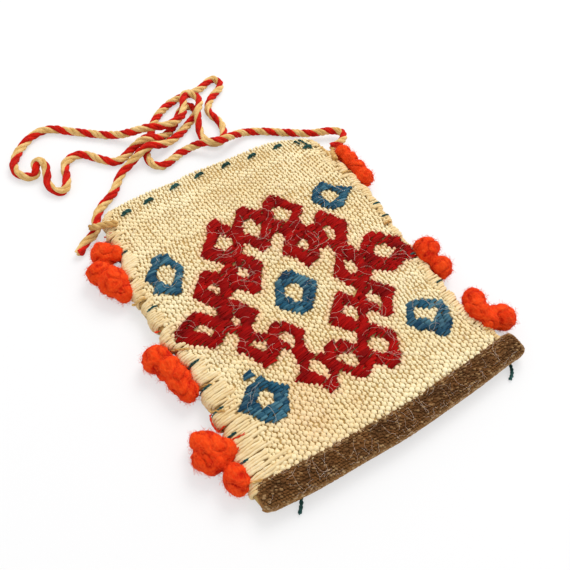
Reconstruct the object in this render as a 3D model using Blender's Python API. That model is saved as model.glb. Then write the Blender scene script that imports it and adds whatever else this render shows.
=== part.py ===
"""Small flat-woven wool pouch with brocaded diamonds, tufts and a twisted strap.

The pouch lies on its back. X runs across the mouth, +Y runs from the fold to the
mouth, and Z is up. The origin is on the flat underside. All sizes are in metres.
"""
import math

import bmesh
import bpy
import numpy as np
from mathutils import Vector

# Clearance that touching pieces keep, and the thickness of one layer of cloth
GAP = 0.0003
WALL = 0.0016

# Weave: warp ends lie across the width, and weft picks are counted from the fold
ENDS = 72
PICKS = 120
END_PITCH = 0.00160
PICKS_PER_RIDGE = 2
RIDGE_DEPTH = 0.00012

# Pouch: outline and section
LEFT_EDGE = -0.0605
RIGHT_EDGE = LEFT_EDGE + ENDS * END_PITCH
FOLD_Y = -0.0740
MOUTH_Y = 0.0770
POUCH_DEPTH = 0.0080
SQUARENESS = 5.0
BACK_FLATTENING = 1.03
SCALLOP_PITCH = 0.0102
SCALLOP_DEPTH = 0.0012
PUCKER_HEIGHT = 0.00035
SEAM_INSET = 0.0030
FOLD_INSET = 0.0060
CAVITY_STATIONS = 10

# How far each side edge wanders outwards, at equal steps from the fold to the mouth
LEFT_WANDER = (0.0000, -0.0004, -0.0016, -0.0021, -0.0020, 0.0006, 0.0018, 0.0033, 0.0004, 0.0000, -0.0026)
RIGHT_WANDER = (0.0028, 0.0010, -0.0016, -0.0012, -0.0014, -0.0008, 0.0012, 0.0025, 0.0019, 0.0000, -0.0028)
# How far the mouth and the fold wander in Y, at equal steps from left to right
MOUTH_WANDER = (-0.0050, -0.0036, -0.0018, 0.0002, 0.0012, 0.0014, -0.0022)
FOLD_WANDER = (0.0016, 0.0002, 0.0000, -0.0002, 0.0008, 0.0022, 0.0040)

# Goat-hair band that is wrapped over the fold
BAND_WIDTH = 0.0085
BAND_WALL = 0.0016
BAND_OVERHANG = 0.0060
BAND_STATIONS = 24

# Brocaded diamonds
MOTIF_THICKNESS = 0.0010
MOTIF_HOLE = 0.42
KNOB_NOTCH = 0.10

# Twisted strap
STRAP_DIAMETER = 0.0042
STRAP_POINTS = 96
LASHING_DIAMETER = 0.0030

# Sewing threads
THREAD_DIAMETER = 0.0009
TAIL_DIAMETER = 0.0011
HEM_STITCH = 0.0046
SIDE_STITCH_DEPTH = 0.0045

# Centre and half size of each red diamond, in ends from the middle and picks from the fold
RED_DIAMONDS = (
    (-11.3, 87.2, 5.5, 8.0), (-1.0, 85.7, 4.4, 9.8), (9.6, 88.1, 5.0, 7.8),
    (-19.7, 70.6, 4.9, 6.9), (-9.4, 69.4, 4.9, 8.6), (7.5, 70.8, 5.6, 8.6), (18.5, 71.9, 4.8, 8.7),
    (-29.1, 56.8, 5.6, 6.8), (-18.2, 56.3, 4.8, 6.6), (15.5, 55.4, 5.1, 6.9), (27.8, 54.7, 6.6, 8.4),
    (-20.0, 42.4, 4.3, 6.3), (-11.0, 42.0, 4.3, 6.4), (5.5, 40.7, 5.3, 7.1), (16.7, 40.3, 5.3, 7.4),
    (-10.3, 27.0, 4.7, 7.7), (-0.9, 26.4, 4.1, 7.3), (8.8, 24.9, 5.0, 7.9),
)
BLUE_DIAMONDS = (
    (-27.0, 82.1, 5.2, 9.3), (23.1, 85.3, 5.4, 7.5), (-1.6, 55.2, 7.0, 9.2),
    (-24.0, 26.7, 6.0, 8.2), (24.8, 25.0, 6.8, 8.1),
)

# Running stitches along the hem, in ends and picks
HEM_STITCHES = (
    (-29.7, 114.8), (-22.7, 115.6), (-13.7, 116.9), (-5.1, 117.4),
    (4.3, 117.0), (13.5, 116.5), (23.0, 116.6), (31.4, 113.4),
)
# Overcast stitches along the two sides, in picks
LEFT_STITCHES = (97.9, 72.3, 47.7, 38.5, 30.3, 21.5, 12.9)
RIGHT_STITCHES = (75.6, 68.9, 49.0, 34.6)

# Wool tufts: centre and radii of each lobe, in millimetres
TUFT_LOBES = {
    "tuft_left_upper": ((-66.0, 51.5, 5.6, 6.4, 7.6, 5.4), (-68.9, 38.3, 5.8, 8.6, 11.5, 5.7)),
    "tuft_left_middle": ((-65.8, -5.0, 5.3, 5.6, 6.8, 5.2), (-64.0, -18.0, 5.2, 5.0, 8.8, 5.1)),
    "tuft_left_lower": ((-67.2, -46.6, 5.6, 6.4, 8.6, 5.5), (-64.6, -58.8, 5.2, 5.0, 6.4, 5.1)),
    "tuft_right_upper": ((63.2, 56.0, 5.3, 5.2, 7.0, 5.2), (63.0, 42.2, 5.6, 6.2, 8.6, 5.5)),
    "tuft_right_middle": ((57.9, -11.4, 7.0, 6.2, 6.2, 5.4), (58.0, -21.6, 6.2, 5.8, 6.6, 5.2)),
    "tuft_right_lower": ((56.2, -46.6, 7.4, 6.4, 7.6, 5.6), (63.4, -54.6, 5.9, 6.4, 7.0, 5.7)),
}

# Strap route in millimetres, chosen by hand: from its loose end, past the left corner of
# the mouth, through the tangle above the pouch, to the knot at the right corner
STRAP_ROUTE = (
    (-74.5, 58.5, 2.2), (-69.6, 63.4, 2.4), (-63.6, 65.8, 3.2), (-62.0, 71.6, 3.8),
    (-57.2, 78.4, 3.0), (-47.8, 86.2, 2.2), (-41.6, 95.0, 2.2), (-31.6, 100.7, 4.0),
    (-24.0, 102.4, 8.0), (-14.4, 104.4, 3.8), (-4.4, 109.6, 2.2), (5.2, 116.5, 2.2),
    (12.2, 122.6, 2.2), (10.4, 129.4, 2.2), (4.6, 126.8, 2.2), (-1.2, 119.6, 2.2),
    (-9.4, 112.4, 2.2), (-15.2, 108.9, 4.6), (-21.8, 108.4, 8.0), (-30.2, 107.8, 4.0),
    (-38.6, 104.0, 2.2), (-45.4, 109.4, 2.2), (-53.0, 117.4, 2.2), (-61.6, 113.8, 2.2),
    (-63.8, 104.0, 2.2), (-68.2, 95.6, 2.2), (-73.0, 101.8, 2.2), (-71.2, 109.4, 3.8),
    (-69.4, 116.4, 6.8), (-75.6, 119.6, 6.6), (-77.8, 110.4, 2.6), (-83.4, 117.0, 2.2),
    (-78.6, 130.6, 2.2), (-62.8, 141.6, 2.2), (-48.2, 132.6, 2.2), (-32.0, 121.6, 3.0),
    (-19.0, 115.2, 7.8), (-8.8, 113.0, 7.4), (1.6, 117.4, 6.8), (6.0, 125.4, 6.8),
    (10.6, 134.0, 7.0), (15.4, 126.4, 7.0), (9.4, 116.0, 6.8), (6.2, 107.6, 3.6),
    (5.2, 100.8, 2.2), (10.8, 95.0, 2.2), (17.0, 101.2, 2.2), (19.2, 111.4, 2.2),
    (17.2, 119.4, 2.2), (24.0, 129.6, 2.2), (34.4, 137.6, 2.2), (33.0, 145.0, 2.2),
    (21.0, 138.6, 2.2), (4.4, 135.6, 2.2), (-10.0, 125.8, 2.2), (-18.2, 113.8, 2.2),
    (-25.6, 99.8, 2.2), (-22.4, 92.2, 2.2), (-6.4, 98.0, 2.2), (3.4, 96.0, 5.2),
    (10.0, 91.6, 7.2), (17.6, 94.4, 5.2), (28.0, 96.8, 2.2), (46.6, 87.4, 2.2),
    (58.0, 79.6, 3.6), (65.8, 77.6, 4.0), (72.4, 73.4, 4.0), (67.4, 67.4, 3.8), (60.6, 67.0, 3.6),
)
ROUTE_ROUNDING = 11

# Routes of the yarn that ties the strap at each corner, in millimetres
LASHING_ROUTES = {
    "strap_lashing_left": ((-55.4, 60.6, 9.6), (-59.8, 62.6, 9.0), (-63.4, 64.6, 7.6), (-66.0, 67.4, 5.4)),
    "strap_lashing_right": ((59.8, 64.0, 4.2), (57.4, 61.0, 5.0), (55.4, 57.4, 6.6), (53.4, 53.4, 8.4)),
}
# Routes of the loose thread ends at the two bottom corners, in millimetres
TAIL_ROUTES = {
    "thread_tail_left": ((-45.6, -73.6, 1.8), (-47.2, -76.8, 1.1), (-50.0, -79.4, 0.7), (-53.4, -79.2, 0.7)),
    "thread_tail_right": ((55.6, -69.6, 2.2), (54.0, -74.2, 1.2), (51.8, -76.4, 0.8), (48.8, -77.4, 0.8),
                          (46.4, -79.6, 0.7)),
}

MM = 0.001


# Materials

def make_material(name, colour, roughness):
    """A plain Principled material for one kind of yarn."""
    material = bpy.data.materials.new(name)
    material.use_nodes = True
    shader = material.node_tree.nodes["Principled BSDF"]
    shader.inputs["Base Color"].default_value = (*colour, 1.0)
    shader.inputs["Roughness"].default_value = roughness
    shader.inputs["Metallic"].default_value = 0.0
    return material


def make_materials():
    """One material for each yarn of the pouch."""
    return {
        "cream": make_material("cream_wool", (0.72, 0.58, 0.34), 0.90),
        "red": make_material("red_wool", (0.36, 0.01, 0.01), 0.92),
        "blue": make_material("blue_wool", (0.03, 0.09, 0.19), 0.92),
        "brown": make_material("brown_goat_hair", (0.12, 0.06, 0.03), 0.88),
        "orange": make_material("orange_fleece", (0.80, 0.08, 0.01), 0.95),
        "strap": make_material("strap_yarn", (0.58, 0.30, 0.10), 0.88),
        "tan": make_material("tan_yarn", (0.55, 0.36, 0.14), 0.90),
        "green": make_material("green_thread", (0.01, 0.08, 0.07), 0.88),
    }


# Meshes and objects

def add_object(name, mesh, material, collection):
    """Put a mesh in the scene as a named object with one material."""
    obj = bpy.data.objects.new(name, mesh)
    mesh.materials.append(material)
    mesh.shade_smooth()
    mesh.set_sharp_from_angle(angle=math.radians(50))
    collection.objects.link(obj)
    return obj


def close_end(shape, row):
    """Close a flattened ring with a strip of faces between its two long sides."""
    size = len(row)
    shape.faces.new((row[0], row[1], row[-1]))
    for k in range(1, size // 2 - 1):
        shape.faces.new((row[k], row[k + 1], row[size - k - 1], row[size - k]))
    shape.faces.new((row[size // 2 - 1], row[size // 2], row[size // 2 + 1]))


def loft(name, rings, closed=False):
    """Skin a list of equal rings of points; a closed loft has no end caps."""
    size = len(rings[0])
    shape = bmesh.new()
    rows = [[shape.verts.new(point) for point in ring] for ring in rings]
    pairs = list(zip(rows, rows[1:]))
    if closed:
        pairs.append((rows[-1], rows[0]))
    for low, high in pairs:
        for k in range(size):
            shape.faces.new((low[k], low[(k + 1) % size], high[(k + 1) % size], high[k]))
    if not closed:
        close_end(shape, rows[0])
        close_end(shape, rows[-1])
    bmesh.ops.recalc_face_normals(shape, faces=shape.faces)
    mesh = bpy.data.meshes.new(name)
    shape.to_mesh(mesh)
    shape.free()
    return mesh


def tube(name, points, diameter, sides_level, material, collection):
    """A bevelled poly curve with closed ends."""
    curve = bpy.data.curves.new(name, "CURVE")
    curve.dimensions = "3D"
    curve.bevel_depth = diameter / 2
    curve.bevel_resolution = sides_level
    curve.use_fill_caps = True
    spline = curve.splines.new("POLY")
    spline.points.add(len(points) - 1)
    for target, point in zip(spline.points, points):
        target.co = (*point, 1.0)
    if material:
        curve.materials.append(material)
    obj = bpy.data.objects.new(name, curve)
    collection.objects.link(obj)
    return obj


def curve_to_mesh(obj, collection):
    """Swap a curve object for a welded mesh object in the same place."""
    name = obj.name
    depsgraph = bpy.context.evaluated_depsgraph_get()
    mesh = bpy.data.meshes.new_from_object(obj.evaluated_get(depsgraph))
    shape = bmesh.new()
    shape.from_mesh(mesh)
    bmesh.ops.remove_doubles(shape, verts=shape.verts, dist=0.00001)
    bmesh.ops.recalc_face_normals(shape, faces=shape.faces)
    shape.to_mesh(mesh)
    shape.free()
    place = obj.matrix_world.copy()
    bpy.data.objects.remove(obj)
    result = bpy.data.objects.new(name, mesh)
    result.matrix_world = place
    collection.objects.link(result)
    return result


def margin_tube(name, points, diameter, guides):
    """A guide tube that is wider than a piece by the clearance all round."""
    guide = curve_to_mesh(tube(name, points, diameter + 2 * GAP, 2, None, guides), guides)
    guide.hide_render = True
    guide.display_type = "WIRE"
    return guide


def boolean(obj, operation, other):
    """Add an exact Boolean modifier that joins or cuts with another object."""
    modifier = obj.modifiers.new(f"{operation.lower()}_{other.name}", "BOOLEAN")
    modifier.operation = operation
    modifier.solver = "EXACT"
    modifier.object = other


def make_cutter(name, mesh, collection):
    """A guide solid that only cuts others."""
    obj = bpy.data.objects.new(name, mesh)
    obj.hide_render = True
    obj.display_type = "WIRE"
    collection.objects.link(obj)
    return obj


# Cloth surface: u runs from -1 at the left edge to 1 at the right, t from 0 at the fold to 1

def wander(values, share):
    """Smooth curve through values at equal steps, read at a share from 0 to 1."""
    place = min(max(share, 0.0), 1.0) * (len(values) - 1)
    step = min(int(place), len(values) - 2)
    rest = place - step
    before = values[max(step - 1, 0)]
    after = values[min(step + 2, len(values) - 1)]
    start, end = values[step], values[step + 1]
    slope_start = (end - before) / 2
    slope_end = (after - start) / 2
    square, cube = rest * rest, rest * rest * rest
    return (start * (2 * cube - 3 * square + 1) + slope_start * (cube - 2 * square + rest)
            + end * (3 * square - 2 * cube) + slope_end * (cube - square))


def scallop(t):
    """Outward swell of the side edge between two overcast stitches."""
    lobes = round((MOUTH_Y - FOLD_Y) / SCALLOP_PITCH)
    return SCALLOP_DEPTH * (abs(math.sin(math.pi * lobes * t)) - 0.5)


def edges(t):
    """X of the left and the right edge of the pouch."""
    left = LEFT_EDGE - wander(LEFT_WANDER, t) - scallop(t)
    right = RIGHT_EDGE + wander(RIGHT_WANDER, t) + scallop(t)
    return left, right


def flat_place(u, t, inset=0.0):
    """X and Y on the pouch, with the side edges drawn in by an inset."""
    left, right = edges(t)
    half = (right - left) / 2 - inset
    x = (left + right) / 2 + u * half
    fold = FOLD_Y + wander(FOLD_WANDER, (u + 1) / 2)
    mouth = MOUTH_Y + wander(MOUTH_WANDER, (u + 1) / 2)
    return x, fold + t * (mouth - fold)


def roundness(u):
    """Height of the rounded section at u, as a share of its full height."""
    return (1 - min(abs(u), 1.0) ** SQUARENESS) ** (1 / SQUARENESS)


def fold_taper(t):
    """Share of the full depth near the fold, where the two layers close up."""
    reach = (BAND_WIDTH + FOLD_INSET) / (MOUTH_Y - FOLD_Y)
    share = min(max(t / reach, 0.0), 1.0)
    least = (2 * WALL + GAP) / POUCH_DEPTH
    return least + (1 - least) * math.sin(share * math.pi / 2)


def pucker(u, t):
    """Slow waves of the front layer."""
    return PUCKER_HEIGHT * math.sin(2.6 * u + 5.2 * t) * math.sin(9.0 * t - 3.1 * u) * (1 - u * u)


def lift(t):
    """Height of the cloth's underside: it rises at the fold to make room for the band."""
    room = BAND_WALL + GAP
    return room * (1 - min(max(t * (MOUTH_Y - FOLD_Y) / (BAND_WIDTH + FOLD_INSET), 0.0), 1.0))


def front_height(u, t):
    """Z of the middle of the front layer's outer face, without its ridges."""
    depth = POUCH_DEPTH * fold_taper(t)
    middle = lift(t) + depth / 2
    return middle + depth / 2 * roundness(u) + pucker(u, t)


def back_height(u, t):
    """Z of the back layer's outer face, flat where the pouch rests."""
    depth = POUCH_DEPTH * fold_taper(t)
    return lift(t) + depth / 2 * (1 - min(1.0, BACK_FLATTENING * roundness(u)))


def on_front(u, t, above):
    """Point over the front face, at a height above the tops of its ridges."""
    x, y = flat_place(u, t)
    return Vector((x, y, front_height(u, t) + RIDGE_DEPTH + above))


SECTION = (-0.93, -0.55, 0.0, 0.55, 0.93)


def outer_ring(t, ridge, grow=0.0):
    """One closed ring round the outside of the pouch, grown outwards for a cutter."""
    ring = []
    middle = lift(t) + POUCH_DEPTH * fold_taper(t) / 2
    for u in (-1.0, *SECTION, 1.0):
        x, y = flat_place(u, t, -grow)
        edge = abs(u) == 1.0
        ring.append(Vector((x, y, middle if edge else front_height(u, t) + ridge + grow)))
    for u in reversed(SECTION):
        x, y = flat_place(u, t, -grow)
        ring.append(Vector((x, y, back_height(u, t) - grow)))
    return ring


def inner_ring(t):
    """One closed ring round the inside of the pouch."""
    ring = []
    middle = POUCH_DEPTH / 2
    half = (POUCH_DEPTH / 2 - WALL) * fold_taper(t)
    rows = [(u, 1) for u in (-1.0, *SECTION, 1.0)] + [(u, -1) for u in reversed(SECTION)]
    for u, side in rows:
        x, y = flat_place(u, t, SEAM_INSET)
        ring.append(Vector((x, y, middle + side * half * roundness(u))))
    return ring


def cloth_stations():
    """Values of t at every crest and valley of the weft ridges."""
    count = 2 * PICKS // PICKS_PER_RIDGE
    return [k / count for k in range(count + 1)]


def grown_pouch(name, grow, reach, collection):
    """Outside of the pouch with a margin, from the fold up to a share of its height."""
    rings = [outer_ring(t, RIDGE_DEPTH, grow) for t in cloth_stations() if t <= reach]
    for point in rings[0]:
        point.y -= grow
    return make_cutter(name, loft(name, rings), collection)


def make_pouch(material, collection):
    """The folded and seamed cloth: ridged outside, smooth inside, open at the mouth."""
    rings = []
    for k, t in enumerate(cloth_stations()):
        ridge = RIDGE_DEPTH if k % 2 else -RIDGE_DEPTH
        rings.append(outer_ring(t, ridge))
    floor = (FOLD_INSET + BAND_WIDTH) / (MOUTH_Y - FOLD_Y)
    for k in range(CAVITY_STATIONS + 1):
        rings.append(inner_ring(1 - (1 - floor) * k / CAVITY_STATIONS))
    add_object("pouch_cloth", loft("pouch_cloth", rings), material, collection)


# Band over the fold

def band_ring(share, grow=0.0):
    """Rounded section of the band at a share of its length, grown outwards for a cutter."""
    left, right = edges(0.0)
    x = left + share * (right + BAND_OVERHANG - left)
    along = min(max(2 * (x - left) / (right - left) - 1, -1.0), 1.0)
    fold = FOLD_Y + wander(FOLD_WANDER, (along + 1) / 2)
    depth = POUCH_DEPTH + 2 * GAP
    closing = min(1.0, 8 * min(share, 1 - share) + 0.45)
    near = fold - BAND_WALL - GAP
    middle_y = near + (BAND_WIDTH + BAND_WALL) / 2
    half_y = (BAND_WIDTH + BAND_WALL) / 2 * (0.75 + 0.25 * closing)
    half_z = depth / 2 * closing
    ring = []
    for k in range(12):
        angle = 2 * math.pi * k / 12
        y = middle_y + (half_y + grow) * math.copysign(abs(math.cos(angle)) ** 0.5, math.cos(angle))
        z = depth / 2 + (half_z + grow) * math.copysign(abs(math.sin(angle)) ** 0.5, math.sin(angle))
        ring.append(Vector((x, y, z)))
    return ring


def make_band(cutter, material, collection):
    """Goat-hair strip that wraps the fold and ends in a small roll on the right."""
    rings = [band_ring(k / BAND_STATIONS) for k in range(BAND_STATIONS + 1)]
    band = add_object("bottom_band", loft("bottom_band", rings), material, collection)
    boolean(band, "DIFFERENCE", cutter)


def grown_band(collection):
    """Outside of the band with a margin."""
    rings = [band_ring(k / BAND_STATIONS, GAP) for k in range(BAND_STATIONS + 1)]
    return make_cutter("band_margin", loft("band_margin", rings), collection)


# Brocaded diamonds

def diamond_outline():
    """Unit outline of a stepped diamond with a knob at each of its four corners."""
    points = []
    for corner in range(4):
        turn = corner * math.pi / 2
        for side, out in ((-0.16, 1.0), (0.16, 1.0), (0.34, 0.66 - KNOB_NOTCH), (0.60, 0.34 + KNOB_NOTCH)):
            reach = (out, side)
            x = reach[0] * math.cos(turn) - reach[1] * math.sin(turn)
            y = reach[0] * math.sin(turn) + reach[1] * math.cos(turn)
            points.append((x, y))
    return points


def make_diamond(name, place, material, collection):
    """A ring of floats laid on the front face, with the ground cloth in its middle."""
    end, pick, half_ends, half_picks = place
    rings = []
    for x, y in diamond_outline():
        section = []
        for share, above in ((MOTIF_HOLE, 0.0), (1.0, 0.0), (1.0, 0.7), (0.5 + MOTIF_HOLE / 2, 1.0), (MOTIF_HOLE, 0.7)):
            u = (end + x * share * half_ends) / (ENDS / 2)
            t = (pick + y * share * half_picks) / PICKS
            section.append(on_front(u, t, GAP + above * MOTIF_THICKNESS))
        rings.append(section)
    add_object(name, loft(name, rings, closed=True), material, collection)


# Sewing threads

def make_hem_stitch(name, place, material, collection):
    """One dash of the running stitch that holds the hem."""
    end, pick = place
    radius = THREAD_DIAMETER / 2
    reach = HEM_STITCH / END_PITCH / 2
    points = []
    for share in (-1.0, -0.33, 0.33, 1.0):
        points.append(on_front((end + share * reach) / (ENDS / 2), pick / PICKS, GAP + radius))
    tube(name, points, THREAD_DIAMETER, 1, material, collection)


def make_side_stitch(name, side, pick, material, collection, guides):
    """One overcast loop round a side edge, and the margin that a tuft leaves round it."""
    t = pick / PICKS
    clear = GAP + THREAD_DIAMETER / 2 + RIDGE_DEPTH
    half = (RIGHT_EDGE - LEFT_EDGE) / 2
    reach = side * (1 - SIDE_STITCH_DEPTH / half)
    points = [on_front(reach, t, clear)]
    depth = POUCH_DEPTH / 2
    for share in (0.97, 0.78, 0.45, 0.0):
        x, y = flat_place(side, t, -clear - SCALLOP_DEPTH / 3)
        x -= side * (1 - (1 - share ** SQUARENESS) ** (1 / 2)) * SIDE_STITCH_DEPTH / 2
        points.append(Vector((x, y, depth + share * depth + clear * share)))
    tube(name, points, THREAD_DIAMETER, 1, material, collection)
    return margin_tube(f"{name}_margin", points, THREAD_DIAMETER, guides)


# Tufts

def lobe_mesh(name, lobe):
    """A rounded lump of fleece, slightly uneven."""
    x, y, z, radius_x, radius_y, radius_z = (value * MM for value in lobe)
    shape = bmesh.new()
    bmesh.ops.create_uvsphere(shape, u_segments=12, v_segments=8, radius=1.0)
    for vertex in shape.verts:
        swell = 1 - 0.04 * (1 + math.sin(3 * vertex.co.x + 5 * vertex.co.y))
        vertex.co = Vector((x + vertex.co.x * radius_x * swell,
                            y + vertex.co.y * radius_y * swell,
                            z + vertex.co.z * radius_z * swell))
    mesh = bpy.data.meshes.new(name)
    shape.to_mesh(mesh)
    shape.free()
    return mesh


def make_tuft(name, lobes, margins, material, collection, guides):
    """Two lobes of fleece in one lump, pressed against the pouch and its stitches."""
    tuft = add_object(name, lobe_mesh(name, lobes[0]), material, collection)
    second = make_cutter(f"{name}_second_lobe", lobe_mesh(f"{name}_second_lobe", lobes[1]), guides)
    boolean(tuft, "UNION", second)
    for margin in margins:
        boolean(tuft, "DIFFERENCE", margin)


# Strap

def through_points(route, steps):
    """Centripetal curve through the route's points, read at several steps a stretch."""
    points = [np.array(point, float) for point in route]
    points = [2 * points[0] - points[1], *points, 2 * points[-1] - points[-2]]
    result = []
    for before, start, end, after in zip(points, points[1:], points[2:], points[3:]):
        knots = [0.0]
        for first, second in ((before, start), (start, end), (end, after)):
            knots.append(knots[-1] + math.sqrt(np.linalg.norm(second - first)))
        k0, k1, k2, k3 = knots
        for step in range(steps):
            at = k1 + (k2 - k1) * step / steps
            a1 = ((k1 - at) * before + (at - k0) * start) / (k1 - k0)
            a2 = ((k2 - at) * start + (at - k1) * end) / (k2 - k1)
            a3 = ((k3 - at) * end + (at - k2) * after) / (k3 - k2)
            b1 = ((k2 - at) * a1 + (at - k0) * a2) / (k2 - k0)
            b2 = ((k3 - at) * a2 + (at - k1) * a3) / (k3 - k1)
            result.append(((k2 - at) * b1 + (at - k1) * b2) / (k2 - k1))
    result.append(points[-2])
    return np.array(result)


def read_evenly(points, cost, count):
    """Points at equal steps of a running cost along a polyline."""
    stations = np.linspace(0.0, cost[-1], count)
    return np.stack([np.interp(stations, cost, points[:, axis]) for axis in range(3)], axis=1)


def running_length(points):
    """Length along a polyline at each of its points."""
    steps = np.linalg.norm(np.diff(points, axis=0), axis=1)
    return np.concatenate([[0.0], np.cumsum(steps)])


def strap_centreline():
    """The strap's route as a soft cord takes it: rounded bends, never below the ground."""
    points = through_points(STRAP_ROUTE, 8) * MM
    length = running_length(points)
    points = read_evenly(points, length, round(length[-1] / (STRAP_DIAMETER / 4)) + 1)
    for _ in range(ROUTE_ROUNDING):
        points[1:-1] = (points[:-2] + 2 * points[1:-1] + points[2:]) / 4
    points[:, 2] = np.maximum(points[:, 2], STRAP_DIAMETER / 2)
    return points


def strap_points():
    """Fewer points on the same route, closer together in its bends."""
    points = strap_centreline()
    steps = np.diff(points, axis=0)
    steps /= np.linalg.norm(steps, axis=1)[:, None]
    turns = np.arccos(np.clip((steps[1:] * steps[:-1]).sum(axis=1), -1.0, 1.0))
    cost = running_length(points)
    cost[2:] += np.cumsum(turns) * 3 * STRAP_DIAMETER
    return read_evenly(points, cost, STRAP_POINTS)


def make_strap(material, collection, guides):
    """The strap's tube, and a margin round each of its ends."""
    points = strap_points()
    tube("strap_cord", points, STRAP_DIAMETER, 2, material, collection)
    left = margin_tube("strap_margin_left", points[:16], STRAP_DIAMETER, guides)
    right = margin_tube("strap_margin_right", points[-14:], STRAP_DIAMETER, guides)
    return left, right


def make_yarn_end(name, route, diameter, margins, material, collection):
    """A short yarn on its own route, cut clear of the pieces that it starts from."""
    points = through_points(route, 3) * MM
    yarn = curve_to_mesh(tube(name, points, diameter, 2, material, collection), collection)
    for margin in margins:
        boolean(yarn, "DIFFERENCE", margin)
    return points


# Whole pouch

def new_collection(name):
    """A collection linked to the scene."""
    collection = bpy.data.collections.new(name)
    bpy.context.scene.collection.children.link(collection)
    return collection


def main():
    """Clear the scene and make every piece of the pouch."""
    for obj in list(bpy.data.objects):
        bpy.data.objects.remove(obj)
    pieces = new_collection("kilim_pouch")
    guides = new_collection("guides")
    yarn = make_materials()
    make_pouch(yarn["cream"], pieces)
    pouch_margin = grown_pouch("pouch_margin", GAP, 1.0, guides)
    make_band(pouch_margin, yarn["brown"], pieces)
    for number, place in enumerate(RED_DIAMONDS, 1):
        make_diamond(f"red_motif_{number:02d}", place, yarn["red"], pieces)
    for number, place in enumerate(BLUE_DIAMONDS, 1):
        make_diamond(f"blue_motif_{number:02d}", place, yarn["blue"], pieces)
    for number, place in enumerate(HEM_STITCHES, 1):
        make_hem_stitch(f"hem_stitch_{number:02d}", place, yarn["green"], pieces)
    margins = {"left": [pouch_margin], "right": [pouch_margin]}
    for word, side, picks in (("left", -1, LEFT_STITCHES), ("right", 1, RIGHT_STITCHES)):
        for number, pick in enumerate(picks, 1):
            name = f"side_stitch_{word}_{number:02d}"
            margins[word].append(make_side_stitch(name, side, pick, yarn["green"], pieces, guides))
    for word, strap_margin in zip(("left", "right"), make_strap(yarn["strap"], pieces, guides)):
        name = f"strap_lashing_{word}"
        points = make_yarn_end(name, LASHING_ROUTES[name], LASHING_DIAMETER,
                               (strap_margin, pouch_margin), yarn["tan"], pieces)
        margins[word].append(margin_tube(f"{name}_margin", points, LASHING_DIAMETER, guides))
    for name, lobes in TUFT_LOBES.items():
        word = "left" if "left" in name else "right"
        make_tuft(name, lobes, margins[word], yarn["orange"], pieces, guides)
    band_margin = grown_band(guides)
    for name, route in TAIL_ROUTES.items():
        make_yarn_end(name, route, TAIL_DIAMETER, (band_margin,), yarn["green"], pieces)


main()
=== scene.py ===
# %% [markdown]
# # A small kilim pouch, one cell at a time
#
# The pouch is woven in one length of hand-spun wool, folded at the bottom and sewn up
# along both sides. It lies on its back with its twisted strap in a tangle above it.
# Everything is in metres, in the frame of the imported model: X runs across the mouth,
# +Y from the fold to the mouth, and Z is up.

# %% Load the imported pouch
import math
import random

import bmesh
import bpy
import numpy as np
from mathutils import Matrix, Vector, noise


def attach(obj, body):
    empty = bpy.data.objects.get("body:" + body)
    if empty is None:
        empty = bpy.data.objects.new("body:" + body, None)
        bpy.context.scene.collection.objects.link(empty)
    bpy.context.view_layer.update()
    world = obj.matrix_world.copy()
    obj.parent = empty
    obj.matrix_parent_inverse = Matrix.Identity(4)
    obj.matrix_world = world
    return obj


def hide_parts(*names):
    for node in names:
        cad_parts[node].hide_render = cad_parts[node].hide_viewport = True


MM = 0.001
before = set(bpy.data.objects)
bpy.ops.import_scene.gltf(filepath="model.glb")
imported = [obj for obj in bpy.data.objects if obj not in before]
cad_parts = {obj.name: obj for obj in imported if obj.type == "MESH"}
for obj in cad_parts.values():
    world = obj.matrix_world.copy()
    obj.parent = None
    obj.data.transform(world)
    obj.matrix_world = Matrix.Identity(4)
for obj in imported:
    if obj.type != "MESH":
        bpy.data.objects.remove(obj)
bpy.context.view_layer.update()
print("nodes in the packed model:", len(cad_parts))

# %% [markdown]
# ## The camera
#
# The camera looks down at the pouch from its lower left. Its angles and its distance
# were worked out from the corners of the cloth, at a guessed width of about 120 mm.
# It is built from three axes, because a roll is easier to read that way.

# %% Set the camera
LENS, SENSOR = 37.895, 36.0
AZIMUTH, RISE, ROLL = (math.radians(angle) for angle in (-37.483, 53.328, 7.919))
CAMERA_DISTANCE = 0.25096
CAMERA_TARGET = Vector((-0.00628, 0.00214, 0.0045))


def add_camera():
    """A camera with the given angles, looking at the target."""
    data = bpy.data.cameras.new("camera")
    data.lens, data.sensor_width, data.clip_start = LENS, SENSOR, 0.01
    camera = bpy.data.objects.new("camera", data)
    bpy.context.scene.collection.objects.link(camera)
    level_share = math.cos(RISE)
    back = Vector((math.sin(AZIMUTH) * level_share, -math.cos(AZIMUTH) * level_share, math.sin(RISE)))
    level = Vector((0, 0, 1)).cross(back).normalized()
    up = back.cross(level)
    right = math.cos(ROLL) * level + math.sin(ROLL) * up
    top = math.cos(ROLL) * up - math.sin(ROLL) * level
    turn = Matrix((right, top, back)).transposed().to_4x4()
    camera.matrix_world = Matrix.Translation(CAMERA_TARGET + back * CAMERA_DISTANCE) @ turn
    bpy.context.scene.camera = camera
    return camera


print("camera at", tuple(round(value, 4) for value in add_camera().matrix_world.translation))

# %% [markdown]
# ## Writing materials as sums
#
# A material is a small calculation. The class below wraps a socket, so that
# `1 - mask` or `tone * 0.3 + 0.8` adds the Math nodes by itself. Any other node is
# added by one method, which takes its type, its settings and its sockets.

# %% Helpers for materials
WOOL_SPECULAR, SHEEN_ROUGHNESS = 0.12, 0.5


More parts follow.
